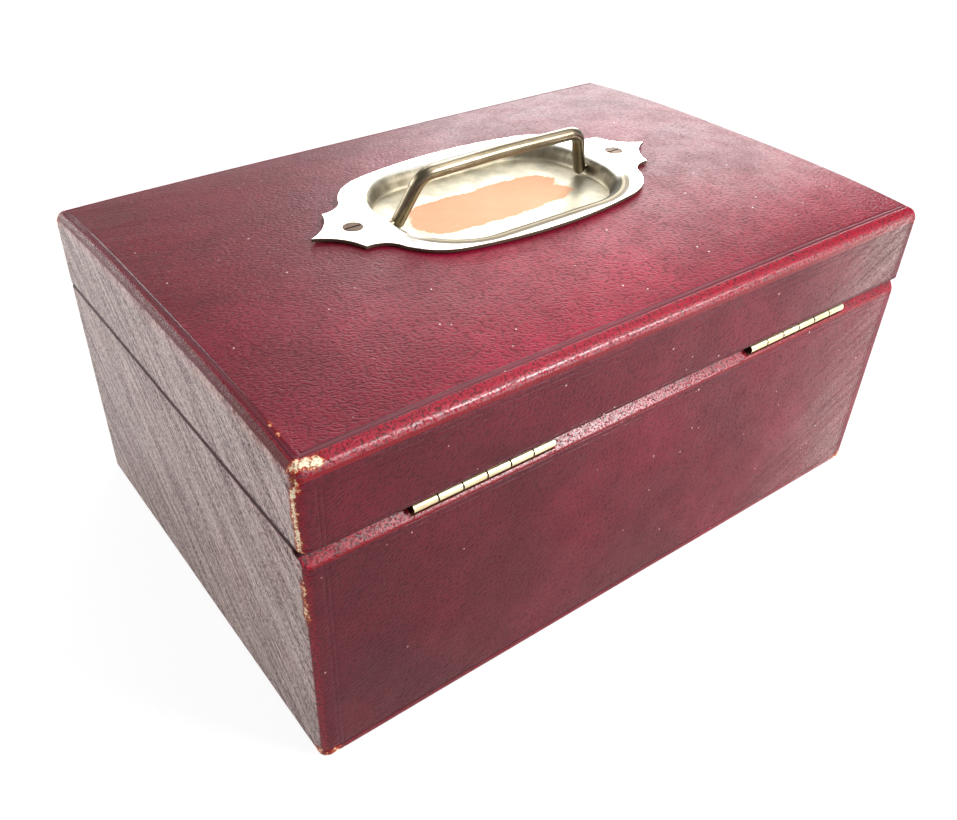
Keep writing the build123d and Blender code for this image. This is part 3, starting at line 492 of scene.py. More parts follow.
def press(grid, outer_rows):
    """Moves the outer rows in by the depth of the tooling and the unevenness."""
    along_row = np.roll(grid, -1, axis=1) - np.roll(grid, 1, axis=1)
    along_column = np.gradient(grid, axis=0)
    normal = np.cross(along_row, along_column)
    normal /= np.maximum(np.linalg.norm(normal, axis=-1, keepdims=True), 1e-9)
    middle = grid.reshape(-1, 3).mean(0)
    outwards = np.sign((normal * (grid - middle)).sum(-1, keepdims=True))
    band, line = near_lines(grid)
    depth = band_depth * band + line_depth * line + unevenness * (1 + wavering(grid))
    pressed = grid.copy()
    pressed[outer_rows] -= (normal * outwards * depth[..., None])[outer_rows]
    return pressed


def leather_skin(name, body, node, grid, outer_rows):
    """A piece of leather from its grid, in place of a CAD node."""
    piece, quads = solid(name, press(grid, outer_rows), body)
    finish_leather(piece, quads, grid, outer_rows)
    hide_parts(node)
    return piece


def side_stations(half):
    """Places along a side of the casket, with three across each upright line near its corners."""
    beside = np.array([-1, 0, 1]) * line_width
    lines = [side * (half - place + beside) for place in corner_lines for side in (1, -1)]
    return stations(corner_round - half, half - corner_round, grid_pitch, np.concatenate(lines))


across, deep = side_stations(half_width), side_stations(half_depth)
board_across, board_deep = across * (board_x / half_width), deep * (board_y / half_depth)
outside = Outline(half_width, half_depth, corner_round, across, deep)
wood_side = Outline(board_x, board_y, corner_round - leather, board_across, board_deep)


def make_lid_leather():
    """The lid's leather: its outer face from the pan's hole to the lower edge, the lip under the
    rails, and its inner face on the boards back to the hole."""
    lines = [lid_rim - wall_band[0], lid_rim - wall_band[1], lid_rim - wall_line, lid_bottom + edge_line]
    over = crown_ring(outside, 0, rim_round)
    rim_foot = over[-1, :, 2].min() - 0.3 * mm
    down = wall(outside, heights_with(lid_bottom + lower_round, rim_foot, 2 * mm, lines))
    turn = quarter(outside, lower_round, lid_bottom + lower_round, 0, -90)[1:]
    lip = level(outside, np.linspace(lower_round, half_width - inside_x, 8)[1:], lid_bottom)
    lip_up = level(outside, [half_width - inside_x], lid_bottom + leather)
    under = level(wood_side, [board_x - inside_x - 0.1 * mm, skin_gap], lid_bottom + leather)
    up = wall(wood_side, np.linspace(lid_bottom + leather + skin_gap, lid_rim - 6 * mm, 4))
    back_over = crown_ring(wood_side, leather, corner_round)[::-4]
    grid = np.concatenate([over, down, turn, lip, lip_up, under, up, back_over])
    outer = slice(0, len(over) + len(down) + len(turn))
    return leather_skin("lid_skin", "lid", "lid_leather", grid, outer)


def bevelled(grid, limit):
    """Points past the back bevel's plane, y + z = limit, are moved straight on to it; its two edges
    are softened by a smooth maximum."""
    past = grid[..., 1] + grid[..., 2] - limit
    soft = 0.7 * mm
    moved = (past + np.sqrt(past * past + soft * soft)) / 2
    moved = np.where(past < -4 * soft, 0, moved)
    out = grid.copy()
    out[..., 1] -= moved / 2
    out[..., 2] -= moved / 2
    return out


def make_base_leather():
    """The base's leather: up the outside from the skirt, over the rim to the mouth, and its inner
    face on the boards down to the skirt."""
    low, high = skirt, base_top
    near_bevel = [high - bevel, high - bevel - 0.7 * mm, high - bevel - 2.6 * mm]
    lines = near_bevel + [high - edge_line, high - edge_line - 1.9 * mm, low + 3.4 * mm]
    bottom = quarter(outside, lower_round, low + lower_round, -90, 0)
    rise = wall(outside, heights_with(low + lower_round, high - upper_round, 2.4 * mm, lines)[::-1][1:-1])
    edge = quarter(outside, upper_round, high - upper_round, 0, 90)
    insets = np.concatenate([np.linspace(0.8, 6.4, 15) * mm, [9 * mm, half_width - inside_x]])
    land = level(outside, insets[1:], high)
    inner = level(outside, [half_width - inside_x], high - leather)
    board_insets = [board_x - inside_x - 0.1 * mm, 6 * mm, 4 * mm, 2 * mm, skin_gap]
    on_board = level(wood_side, board_insets, high - leather)
    down = wall(wood_side, [high - leather - 3 * mm, high - 9 * mm, low + 20 * mm, low])
    outer_grid = bevelled(np.concatenate([bottom, rise, edge, land]), half_depth + base_top - bevel)
    inner_limit = half_depth + base_top - bevel - leather * sqrt(2)
    inner_grid = bevelled(np.concatenate([inner, on_board, down]), inner_limit)
    grid = np.concatenate([outer_grid, inner_grid])
    return leather_skin("base_skin", "base", "base_leather", grid, slice(0, len(outer_grid)))


def prism(name, outline, low, high, axis):
    """A closed block: a flat outline of points carried along an axis from low to high."""
    outline = np.asarray(outline, float)
    ends = []
    for place in (low, high):
        ends.append(np.insert(outline, axis, place, axis=1))
    points = np.concatenate(ends)
    count = len(outline)
    ring = [(k, (k + 1) % count, count + (k + 1) % count, count + k) for k in range(count)]
    faces = ring + [tuple(range(count))[::-1], tuple(range(count, 2 * count))]
    mesh = bpy.data.meshes.new(name)
    mesh.from_pydata(points.tolist(), [], faces)
    turn_outwards(mesh)
    return put(name, mesh)


def turn_outwards(mesh):
    """Turns the faces of a closed mesh outwards."""
    work = bmesh.new()
    work.from_mesh(mesh)
    bmesh.ops.recalc_face_normals(work, faces=work.faces)
    work.to_mesh(mesh)
    work.free()


def bake(piece):
    """Makes what a piece's modifiers give its mesh, and removes them."""
    graph = bpy.context.evaluated_depsgraph_get()
    done = bpy.data.meshes.new_from_object(piece.evaluated_get(graph))
    piece.modifiers.clear()
    piece.data = done


def cut(piece, cutters):
    """Cuts blocks out of a piece and removes them."""
    for cutter in cutters:
        knife = piece.modifiers.new("cut", "BOOLEAN")
        knife.operation = "DIFFERENCE"
        knife.solver = "EXACT"
        knife.object = cutter
    bake(piece)
    for cutter in cutters:
        bpy.data.objects.remove(cutter)


def box_outline(low, high):
    """The four corners of a rectangle from its low and high corner."""
    return [(low[0], low[1]), (high[0], low[1]), (high[0], high[1]), (low[0], high[1])]


def cut_beds(lid_skin, base_skin):
    """Cuts the beds of the hinge leaves, the lock plates and the escutcheon out of the leather."""
    margin = 0.05 * mm
    lid_cuts, base_cuts = [], []

    def plate_bed(node, start, end):
        """A block as wide and deep as a plate, from one height to another."""
        low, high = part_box(node)
        bed = box_outline((low.x - margin, low.y - margin), (high.x + margin, high.y + margin))
        return prism("bed", bed, start, end, 2)

    for side in ("right", "left"):
        low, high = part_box(f"lid_{side}_hinge")
        top = lid_bottom + leather - skin_gap
        bed = box_outline((low.y - margin, lid_bottom - mm), (board_y + margin, top))
        lid_cuts.append(prism("bed", bed, low.x - margin, high.x + margin, 0))
        low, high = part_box(f"base_{side}_hinge")
        rim = base_top - leather
        slope_y = half_depth + base_top - bevel - leather * sqrt(2) - rim
        foot = low.z + margin
        drop = rim - foot
        bed = [
            (low.y - margin, rim + skin_gap), (slope_y, rim + skin_gap), (slope_y + drop, foot + skin_gap),
            (slope_y + drop + 1.2 * mm, foot + 1.2 * mm), (slope_y + 1.2 * mm, rim + 3 * mm),
            (low.y - margin, rim + 3 * mm),
        ]
        base_cuts.append(prism("bed", bed, low.x - margin, high.x + margin, 0))
    base_cuts.append(plate_bed("lock_face_plate", base_top - leather + skin_gap, base_top + mm))
    lid_cuts.append(plate_bed("striker_plate", lid_bottom - mm, lid_bottom + leather - skin_gap))
    low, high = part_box("escutcheon")
    radius, middle = high.x + margin, (low.z + high.z) / 2
    reach = (high.z - low.z) / 2 - high.x
    turn = np.radians(np.arange(0, 181, 15))
    slot = [(radius * cos(a), middle + reach + radius * sin(a)) for a in turn]
    slot += [(-radius * cos(a), middle - reach - radius * sin(a)) for a in turn]
    base_cuts.append(prism("bed", slot, -half_depth - 2 * mm, -board_y - skin_gap, 1))
    cut(lid_skin, lid_cuts)
    cut(base_skin, base_cuts)


lid_skin = make_lid_leather()
base_skin = make_base_leather()
cut_beds(lid_skin, base_skin)


# Cushions


cushion_slack = 0.5 * mm
cushion_pressure = 4.0
settling_frames = 20
most_swelling = 1.6 * mm
roll_count = 6
roll_gap = 0.4 * mm


def pad_lattice(counts):
    """The surface of a cube from -1 to 1 as a lattice: its points, merged where faces meet, and its
    quads, facing outwards."""
    points, quads = [], []
    for axis in range(3):
        first, second = (axis + 1) % 3, (axis + 2) % 3
        u, v = np.meshgrid(
            np.linspace(-1, 1, counts[first] + 1), np.linspace(-1, 1, counts[second] + 1), indexing="ij"
        )
        for side in (-1, 1):
            face = np.zeros(u.shape + (3,))
            face[..., axis], face[..., first], face[..., second] = side, u, v
            number = np.arange(u.size).reshape(u.shape) + sum(len(p) for p in points)
            corners = [number[:-1, :-1], number[1:, :-1], number[1:, 1:], number[:-1, 1:]]
            quad = np.stack(corners[::side], axis=-1).reshape(-1, 4)
            points.append(face.reshape(-1, 3))
            quads.append(quad)
    merged, index = np.unique(np.concatenate(points).round(6), axis=0, return_inverse=True)
    return merged, index.ravel()[np.concatenate(quads)]


def pad_form(cube, middle, half, edge):
    """A cushion in its box from a cube: a flat back at w = -1, sides drawn in between their corners and
    bulging at half height, and a crown over the edge height."""
    u, v, w = cube.T
    draw = (w + 1) * 0.6 * mm
    slack = cushion_slack * (w + 1.3) / 2.3
    bulge = 1 - 0.9 * mm * (w > 0) * w / np.minimum(half[0], half[1])
    x = middle[0] + (half[0] - slack - draw * (1 - v * v)) * u * bulge
    y = middle[1] + (half[1] - slack - draw * (1 - u * u)) * v * bulge
    crown_height = edge + (2 * half[2] - cushion_slack - edge) * (1 - u**4) * (1 - v**4)
    return np.stack([x, y, crown_height * (w + 1) / 2], axis=-1)


def roll_form(cube, middle, half, edge):
    """A ring roll from a cube: straight sides to the edge height, a half-round top, and tucked ends."""
    u, v, w = cube.T
    turn = v * pi / 2
    straight = np.minimum(1, (w + 1) / 2)
    top = edge + (2 * half[2] - cushion_slack - edge) * np.cos(turn) * (1 - 0.16 * u**8)
    x = middle[0] + (half[0] - cushion_slack - 0.8 * mm * (v * v)) * u
    y = middle[1] + (half[1] - cushion_slack) * np.sin(turn) * (1 - 0.05 * u**8)
    return np.stack([x, y, top * straight], axis=-1)


def settle(piece, held, low, high):
    """Blows a cushion up as cloth with its back held, moves no point further than the most swelling
    and none out of its box, and keeps the result as its mesh."""
    start = np.array([vertex.co for vertex in piece.data.vertices])
    group = piece.vertex_groups.new(name="held")
    group.add(np.flatnonzero(held).tolist(), 1.0, "REPLACE")
    cloth = piece.modifiers.new("cloth", "CLOTH")
    settings = cloth.settings
    settings.quality, settings.mass, settings.air_damping = 6, 0.2, 4
    settings.tension_stiffness, settings.compression_stiffness, settings.bending_stiffness = 12, 12, 0.3
    settings.use_pressure, settings.uniform_pressure_force = True, cushion_pressure
    settings.shrink_min = -0.03
    settings.vertex_group_mass = "held"
    settings.effector_weights.gravity = 0
    cloth.collision_settings.use_collision = False
    cloth.point_cache.frame_start, cloth.point_cache.frame_end = 1, settling_frames
    for number in range(1, settling_frames + 1):
        scene.frame_set(number)
    graph = bpy.context.evaluated_depsgraph_get()
    blown = np.array([vertex.co for vertex in piece.evaluated_get(graph).data.vertices])
    piece.modifiers.remove(cloth)
    piece.vertex_groups.remove(group)
    scene.frame_set(1)
    moved = blown - start
    far = np.linalg.norm(moved, axis=1, keepdims=True)
    moved *= np.minimum(1, most_swelling / np.maximum(far, 1e-9))
    done = np.clip(start + moved, low + 0.05 * mm, high - 0.05 * mm)
    piece.data.vertices.foreach_set("co", done.astype(np.float32).ravel())
    piece.data.update()


def smooth_once(piece):
    """One subdivision, kept in the mesh."""
    finer = piece.modifiers.new("finer", "SUBSURF")
    finer.levels = finer.render_levels = 1
    bake(piece)


def cushion(name, body, node, boxes, form, edge, pitch, down=False):
    """A velvet cushion of one or more like pads, each in its box, in the space of a CAD node."""
    points, quads, held, lows, highs = [], [], [], [], []
    for low, high in boxes:
        low, high = np.array(low), np.array(high)
        spans = high - low
        counts = [max(2, int(round(spans[0] / pitch))), max(4, int(round(spans[1] / pitch))), 3]
        cube, faces = pad_lattice(counts)
        shape = form(cube, (low + high) / 2, spans / 2, edge)
        height = shape[:, 2].copy()
        shape[:, 2] = high[2] - height if down else low[2] + height
        if down:
            faces = faces[:, ::-1]
        quads.append(faces + sum(len(p) for p in points))
        points.append(shape)
        held.append(cube[:, 2] < -0.99)
        lows.append(np.tile(low, (len(shape), 1)))
        highs.append(np.tile(high, (len(shape), 1)))
    points, quads = np.concatenate(points), np.concatenate(quads)
    mesh = bpy.data.meshes.new(name)
    mesh.from_pydata(points.tolist(), [], quads.tolist())
    mesh.polygons.foreach_set("use_smooth", np.ones(len(quads), bool))
    piece = put(name, mesh)
    settle(piece, np.concatenate(held), np.concatenate(lows), np.concatenate(highs))
    smooth_once(piece)
    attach(piece, body)
    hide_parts(node)
    return piece


def node_box(node):
    """The low and high corner of a CAD node."""
    low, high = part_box(node)
    return np.array(low), np.array(high)


def tray_boxes():
    """The boxes of the five pads in the bays of the tray, each beside its dividers, and of the ring
    rolls."""
    low, high = node_box("tray_pads")
    roll_low, roll_high = node_box("ring_rolls")
    long_divider, back_divider, front_divider, beside = 10 * mm, 41 * mm, 62 * mm, 1.9 * mm
    back, front = long_divider + beside, long_divider - beside
    pads = []
    for x0, x1, y0, y1 in (
        (back_divider + beside, high[0], back, high[1]),
        (beside - back_divider, back_divider - beside, back, high[1]),
        (low[0], -back_divider - beside, back, high[1]),
        (front_divider + beside, high[0], low[1], front),
        (low[0], -front_divider - beside, low[1], front),
    ):
        pads.append(((x0, y0, low[2]), (x1, y1, high[2])))
    pitch = (roll_high[1] - roll_low[1] + roll_gap) / roll_count
    rolls = []
    for number in range(roll_count):
        start = roll_low[1] + number * pitch
        end = start + pitch - roll_gap
        rolls.append(((roll_low[0], start, roll_low[2]), (roll_high[0], end, roll_high[2])))
    return pads, rolls


pad_boxes, roll_boxes = tray_boxes()
soft_pieces = [
    cushion("floor_cushion", "base", "floor_pad", [node_box("floor_pad")], pad_form, 4 * mm, 5 * mm),
    cushion("lid_cushion", "lid", "lid_pad", [node_box("lid_pad")], pad_form, 3 * mm, 5 * mm, down=True),
    cushion("ring_cushions", "tray", "ring_rolls", roll_boxes, roll_form, 6 * mm, 2.4 * mm),
    cushion("tray_cushions", "tray", "tray_pads", pad_boxes, pad_form, 2.5 * mm, 4 * mm),
]


# Finishes


def tone(red, green, blue):
    """A colour from its screen values, 0 to 255, to the shader's linear numbers."""
    share = np.array([red, green, blue]) / 255
    linear = np.where(share <= 0.04045, share / 12.92, ((share + 0.055) / 1.055) ** 2.4)
    return (*linear.tolist(), 1.0)


def operator(operation):
    """A method that joins a Field and another value by a Math node."""
    return lambda self, other: self.finish.math(operation, self, other)


class Field:
    """A socket whose value varies over the surface."""

    __add__ = __radd__ = operator("ADD")
    __sub__ = operator("SUBTRACT")
    __mul__ = operator("MULTIPLY")
    __truediv__ = operator("DIVIDE")
    most = operator("MAXIMUM")

    def __init__(self, finish, socket):
        self.finish, self.socket = finish, socket

    def __rsub__(self, other):
        return self.finish.math("SUBTRACT", other, self)

    def above(self, start, end):
        """0 below start, 1 above end, smooth between; start may be the greater, for the reverse."""
        if start > end:
            return 1 - self.above(end, start)
        limits = {"Value": self, "From Min": start, "From Max": end}
        return self.finish.node("MapRange", {"interpolation_type": "SMOOTHSTEP"}, limits)


class Finish:
    """One material: its Principled shader, the place in the object, and a method that adds any other
    node."""

    def __init__(self, name, **constants):
        self.material = bpy.data.materials.new(name)
        self.material.use_nodes = True
        self.tree = self.material.node_tree
        self.shader = self.tree.nodes["Principled BSDF"]
        self.place = self.node("TexCoord", None, None, "Object")
        names = {"ior": "IOR", "coat_ior": "Coat IOR"}
        self.set({names.get(key, key.replace("_", " ").title()): value for key, value in constants.items()})

    def set(self, values):
        for name, value in values.items():
            self.feed(self.shader.inputs[name], value)

    def feed(self, socket, value):
        if isinstance(value, Field):
            self.tree.links.new(value.socket, socket)
        else:
            socket.default_value = value

    def node(self, kind, settings, inputs=None, out=0):
        """Adds a node: its settings first, then the values or links of its sockets."""
        made = self.tree.nodes.new("ShaderNode" + kind)
        for name, value in (settings or {}).items():
            setattr(made, name, value)
        for name, value in (inputs or {}).items():
            self.feed(made.inputs[name], value)
        return Field(self, made.outputs[out])

    def math(self, operation, *terms):
        return self.node("Math", {"operation": operation}, dict(enumerate(terms)))

    def mix(self, share, first, second):
        """One colour turning into another as share goes from 0 to 1."""
        return self.node("Mix", {"data_type": "RGBA"}, {0: share, 6: first, 7: second}, out=2)

    def noise(self, scale, detail, roughness, place=None, out="Fac"):
        sockets = {"Vector": place or self.place, "Scale": scale, "Detail": detail, "Roughness": roughness}
        return self.node("TexNoise", None, sockets, out)

    def layers(self, colour, *over):
        """A colour with others laid over it in turn, each by its share."""
        for share, other in over:
            colour = self.mix(share, colour, other)
        return colour

    def mark(self, name):
        return self.node("Attribute", {"attribute_name": name}, None, "Fac")

    def stretch(self, place, scale, turn=(0, 0, 0)):
        """A place scaled along each axis, after a turn given in degrees."""
        turned = tuple(radians(angle) for angle in turn)
        sockets = {"Vector": place, "Rotation": turned, "Scale": scale}
        return self.node("Mapping", {"vector_type": "POINT"}, sockets)

    def shift(self, place, noise, reach):
        """A place moved about by a coloured noise, by up to half of reach."""
        return self.node("VectorMath", {"operation": "MULTIPLY_ADD"}, {0: noise, 1: (reach,) * 3, 2: place})

    def bump(self, height, distance, strength):
        """Height from 0 to 1 raised by distance in metres."""
        sockets = {"Height": height, "Distance": distance, "Strength": strength}
        self.set({"Normal": self.node("Bump", None, sockets)})

    def axes(self):
        return [self.node("SeparateXYZ", None, {"Vector": self.place}, axis) for axis in "XYZ"]

    def on(self, *pieces):
        """Puts this finish alone on each piece."""
        for piece in pieces:
            piece.data.materials.clear()
            piece.data.materials.append(self.material)
        return self


def grained_leather():
    """Crimson straight-grained leather: rows of soft pits along the grain, edges polished to a deep
    glossy red and partly brightened as painted light, walls darkened and dark strips and seams as
    painted shade, burnished bands, ends gone grey in streaks partly as the glaze blooming and partly as
    painted sheen, pale wear and specks of dust."""
    f = Finish("red_leather", ior=1.34, coat_ior=2.2, coat_roughness=0.28)
    uv = f.node("UVMap", {"uv_map": "grain"})
    uv = f.shift(uv, f.noise(300, 2, 0.5, uv, "Color"), 1.6 * mm)
    # Marks with painted light: dark and shade are painted shade, deep is painted shade and light, and the
    # grey mark is partly painted sheen.
    marks = ("band", "line", "worn", "edge", "gloss", "dark", "shade", "bloom_and_sheen", "deep")
    band, line, worn, edge, gloss, under, shade, bloom_and_sheen, deep = (f.mark(name) for name in marks)
    ripples = f.noise(1400, 1, 0.5, f.stretch(uv, (0.5, 1, 1))).above(0.3, 0.64)
    pits = f.noise(1300, 2, 0.6).above(0.36, 0.56)
    fine = f.noise(4200, 2, 0.6)
    plain = band.most(line)
    grain = ripples * (1 - edge) + pits * edge
    height = (grain * 0.75 + fine * 0.25) * (1 - plain * 0.8)
    f.bump(height, 0.11 * mm, 1.0)

    patches = f.noise(24, 4, 0.6)
    clouds = f.noise(80, 4, 0.65)
    dark = (1 - grain).above(0.3, 0.95) * (1 - plain)
    frayed_rim_shade = (under + (f.noise(900, 3, 0.7) - 0.5) * 1.2 * under).above(0.3, 0.7)
    frayed_bloom_and_sheen = (bloom_and_sheen + (f.noise(1100, 3, 0.7) - 0.5) * 1.4 * bloom_and_sheen).above(0.0, 0.95)
    streaks = f.noise(520, 4, 0.75, f.stretch(uv, (0.05, 1, 1))).above(0.4, 0.6)
    salt = f.noise(1300, 3, 0.75, f.stretch(uv, (0.6, 1, 1))).above(0.4, 0.6)
    bloom_and_sheen_grey = f.mix(streaks * 0.45 + salt * 0.55, tone(46, 20, 24), tone(250, 232, 224))
    rub = f.noise(420, 5, 0.75)
    flecks = f.noise(900, 3, 0.65)
    lost = (worn + (rub - 0.5) * 2.6).above(0.52, 0.6)
    bruised = (worn + (rub - 0.5) * 1.6).above(0.16, 0.5)
    hide = f.mix((worn + (rub - 0.5) * 2.6).above(0.6, 0.86), tone(196, 84, 30), tone(255, 236, 204))
    hide = f.mix(flecks.above(0.54, 0.62) * 0.85, hide, tone(128, 72, 30))
    dust = f.node("TexVoronoi", None, {"Vector": f.place, "Scale": 210, "Randomness": 1.0}, "Distance")
    specks = dust.above(0.085, 0.05) * f.noise(90, 1, 0.5).above(0.56, 0.62)
    red = f.layers(
        f.mix(patches.above(0.36, 0.66), tone(156, 6, 46), tone(186, 14, 62)),
        (clouds.above(0.35, 0.72) * 0.35, tone(130, 14, 42)),
        (dark * 0.6, tone(84, 2, 26)),
        # Painted shade and light: the walls darker than the crown, the crown paler towards the back.
        (deep, tone(34, 2, 8)),
        # Partly painted light: edges a brighter crimson where they face the lamp, over the polished grain's
        # pits.
        (edge * 0.75, f.mix(pits, tone(76, 0, 12), tone(170, 0, 40))),
        # Painted shade: the dark red strip under the rim highlight and along the end rims.
        (frayed_rim_shade * 0.9, tone(124, 0, 16)),
        (band * 0.6, tone(104, 58, 66)),
        (line * 0.75, tone(58, 2, 16)),
        # Partly painted sheen: grey streaks where light glances off the ends and the back, partly the glaze
        # blooming.
        (frayed_bloom_and_sheen * 0.66 * (1 - shade), bloom_and_sheen_grey),
        (shade * 0.9, tone(30, 0, 8)),
        (bruised * 0.8, tone(124, 0, 10)),
        (lost, hide),
        (specks * 0.8, tone(240, 214, 208)),
    )
    broken = f.noise(1250, 3, 0.65).above(0.43, 0.52)
    rough = 0.37 + clouds.above(0.3, 0.7) * 0.1 - plain * 0.06 + lost * 0.4
    rough = rough + dark * 0.1 - edge * 0.08 + shade * 0.1
    f.set({"Base Color": red, "Roughness": rough, "Coat Weight": gloss * (1 - lost) * broken})
    return f


def metal(name, light, dark, roughness, grime_and_shade, grime_share, dark_places=None):
    """A worn metal: two tones in clouds, fine scratches that catch the light, grime in patches and, with
    the places given, a dark tone there too, which is painted shade on the hinges and along the plate's
    mouth."""
    f = Finish(name, metallic=1.0)
    clouds = f.noise(90, 4, 0.6)
    hairs = f.noise(1.0, 3, 0.7, f.stretch(f.place, (60, 2600, 900), (0, 0, 20)))
    spots = f.noise(420, 5, 0.7)
    colour = f.mix(clouds.above(0.35, 0.7), light, dark)
    dirt_and_shade = spots.above(0.62 - grime_share, 0.74 - grime_share) * 0.7
    # The given places are painted dark: painted shade on the hinges and along the plate's mouth.
    if dark_places:
        dirt_and_shade = dirt_and_shade.most(dark_places(f))
    colour = f.mix(dirt_and_shade, colour, grime_and_shade)
    f.set({"Base Color": colour, "Roughness": roughness + (hairs - 0.5) * 0.14 + dirt_and_shade * 0.3})
    f.bump(hairs * 0.7 + spots * 0.3, 0.02 * mm, 0.4)
    return f


def hinge_shaded_places(f):
    """Where a hinge is painted dark as painted shade: between its knuckles, and off the barrel on the
    leaves.
    """
    x, y, z = f.axes()
    off_y, off_z = y - hinge_axis[0], z - hinge_axis[1]
    away = f.math("SQRT", off_y * off_y + off_z * off_z)
    leaf = away.above(barrel_round + 0.03 * mm, barrel_round + 0.16 * mm)
    from_start = f.math("ABSOLUTE", x) - hinge_low.x
    from_joint = f.math("PINGPONG", from_start, knuckle_pitch / 2)
    return leaf.most(from_joint.above(0.42 * mm, 0.2 * mm))


def plate_dark_edge_and_mouth_shade(f):
    """Where the plate is painted darker and rougher: on its edge all round, and along its mouth on the
    near side, next to the pan's rolled edge, as painted shade."""
    x, y, z = f.axes()
    along = (f.math("ABSOLUTE", x) - (recess_half_x - recess_round)).most(0.0)
    beside = y - (recess_half_y - recess_round)
    away = f.math("SQRT", along * along + beside * beside) - recess_round
    mouth = away.above(mouth_shade_band[1], mouth_shade_band[0]) * y.above(12 * mm, 24 * mm)
    return mouth.most(z.above(plate_high.z - 0.1 * mm, plate_high.z - 0.25 * mm))


def silver_pan():
    """Plated metal of the recess: a dull floor worn through to copper in the middle, walls gone grey,
    and a rolled lip that is bright, but painted darker on the near side as painted shade."""
    f = Finish("worn_silver", metallic=1.0)
    x, y, z = f.axes()
    rough_edge = f.noise(150, 5, 0.65)
    wide = f.noise(40, 2, 0.5)
    along, beside = (x - 2.5 * mm) / (37 * mm), (y - 0.5 * mm) / (14 * mm)
    along, beside = along * along, beside * beside
    patch = along * along + beside * beside + (rough_edge - 0.5) * 1.2 + (wide - 0.5) * 0.8
    specks = f.noise(900, 4, 0.7)
    copper = patch.above(0.9, 0.8) * specks.above(0.7, 0.66)
    silver = f.mix(f.noise(70, 4, 0.6).above(0.35, 0.68), tone(214, 206, 184), tone(168, 162, 144))
    bare = f.mix(f.noise(60, 3, 0.6), tone(196, 152, 118), tone(178, 134, 100))
    colour = f.mix(copper, silver, bare)
    colour = f.mix(specks.above(0.68, 0.74) * 0.7, colour, tone(110, 88, 66))
    height = z - recess_floor
    foot = height.above(0.15 * mm, 1.6 * mm)
    near = y.above(14 * mm, 24 * mm)
    lip = height.above(5.3 * mm, 6.25 * mm) * (1 - near)
    shades = f.noise(1.0, 3, 0.6, f.stretch(f.place, (160, 160, 60)))
    tarnish_and_near_shade = f.mix(shades.above(0.3, 0.7), tone(122, 114, 96), tone(168, 160, 140))
    # Painted shade: on the near side the wall and the lip are dark, up to the lip's top.
    rolled = f.mix(height.above(6.26 * mm, 6.38 * mm), tone(82, 77, 64), tone(176, 165, 141))
    tarnish_and_near_shade = f.mix(near, tarnish_and_near_shade, rolled)
    colour = f.mix(foot, colour, tarnish_and_near_shade)
    colour = f.mix(lip, colour, tone(248, 245, 236))
    hairs = f.noise(1.0, 3, 0.7, f.stretch(f.place, (90, 2200, 900), (0, 0, 35)))
    rough = 0.42 + hairs * 0.16 + copper * 0.1 - lip * 0.2 + near * foot * 0.16
    f.set({"Base Color": colour, "Roughness": rough})
    f.bump(hairs * 0.5 + specks * 0.5, 0.03 * mm, 0.4)
    return f


def velvet():
    """Short crimson pile: a strong sheen, brushed patches and a fine nap."""
    f = Finish("crimson_velvet", roughness=0.85, ior=1.4, sheen_weight=0.9, sheen_roughness=0.35)
    f.set({"Sheen Tint": tone(226, 120, 140)})
    brushed = f.noise(45, 3, 0.55)
    nap = f.noise(2600, 2, 0.6)
    tufts = f.noise(900, 2, 0.5)
    colour = f.mix(brushed.above(0.35, 0.68), tone(102, 9, 28), tone(120, 14, 36))
    colour = f.mix(nap * 0.5, colour, tone(58, 2, 12))
    f.set({"Base Color": colour, "Roughness": 0.75 + nap * 0.2})
    f.bump(nap * 0.6 + tufts * 0.4, 0.25 * mm, 0.8)
    return f


def wood():
    """Sawn mahogany, seen only at cut edges."""
    f = Finish("carcass_wood", ior=1.5)
    warped = f.shift(f.place, f.noise(30, 2, 0.5, f.place, "Color"), 8 * mm)
    bands = f.noise(1.0, 4, 0.6, f.stretch(warped, (8, 260, 260)))
    pores = f.noise(1.0, 2, 0.6, f.stretch(f.place, (90, 2400, 2400)))
    colour = f.mix(bands.above(0.3, 0.7), tone(134, 78, 44), tone(96, 50, 28))
    colour = f.mix(pores.above(0.6, 0.7), colour, tone(58, 28, 16))
    f.set({"Base Color": colour, "Roughness": 0.55 + bands * 0.15})
    f.bump(pores, 0.12 * mm, 0.5)
    return f


def underside():
    """Smooth dark leather on the bottom, scuffed where it stands."""
    f = Finish("under_leather", ior=1.48)
    creases = f.noise(700, 4, 0.65)
    rubs = f.noise(1.0, 4, 0.7, f.stretch(f.place, (40, 300, 100), (0, 0, 30)))
    colour = f.mix(f.noise(25, 3, 0.6).above(0.35, 0.7), tone(78, 34, 34), tone(56, 22, 24))
    colour = f.mix(rubs.above(0.6, 0.75) * 0.6, colour, tone(138, 92, 76))
    f.set({"Base Color": colour, "Roughness": 0.55 + creases * 0.2})
    f.bump(creases, 0.15 * mm, 0.6)
    return f


# The silver's dirt tone also paints shade along the plate's mouth.
silver, dull_silver, silver_dirt_and_shade = tone(250, 247, 240), tone(238, 234, 222), tone(116, 106, 88)
nickel, dull_nickel, nickel_dirt = tone(150, 138, 116), tone(118, 106, 86), tone(104, 88, 68)
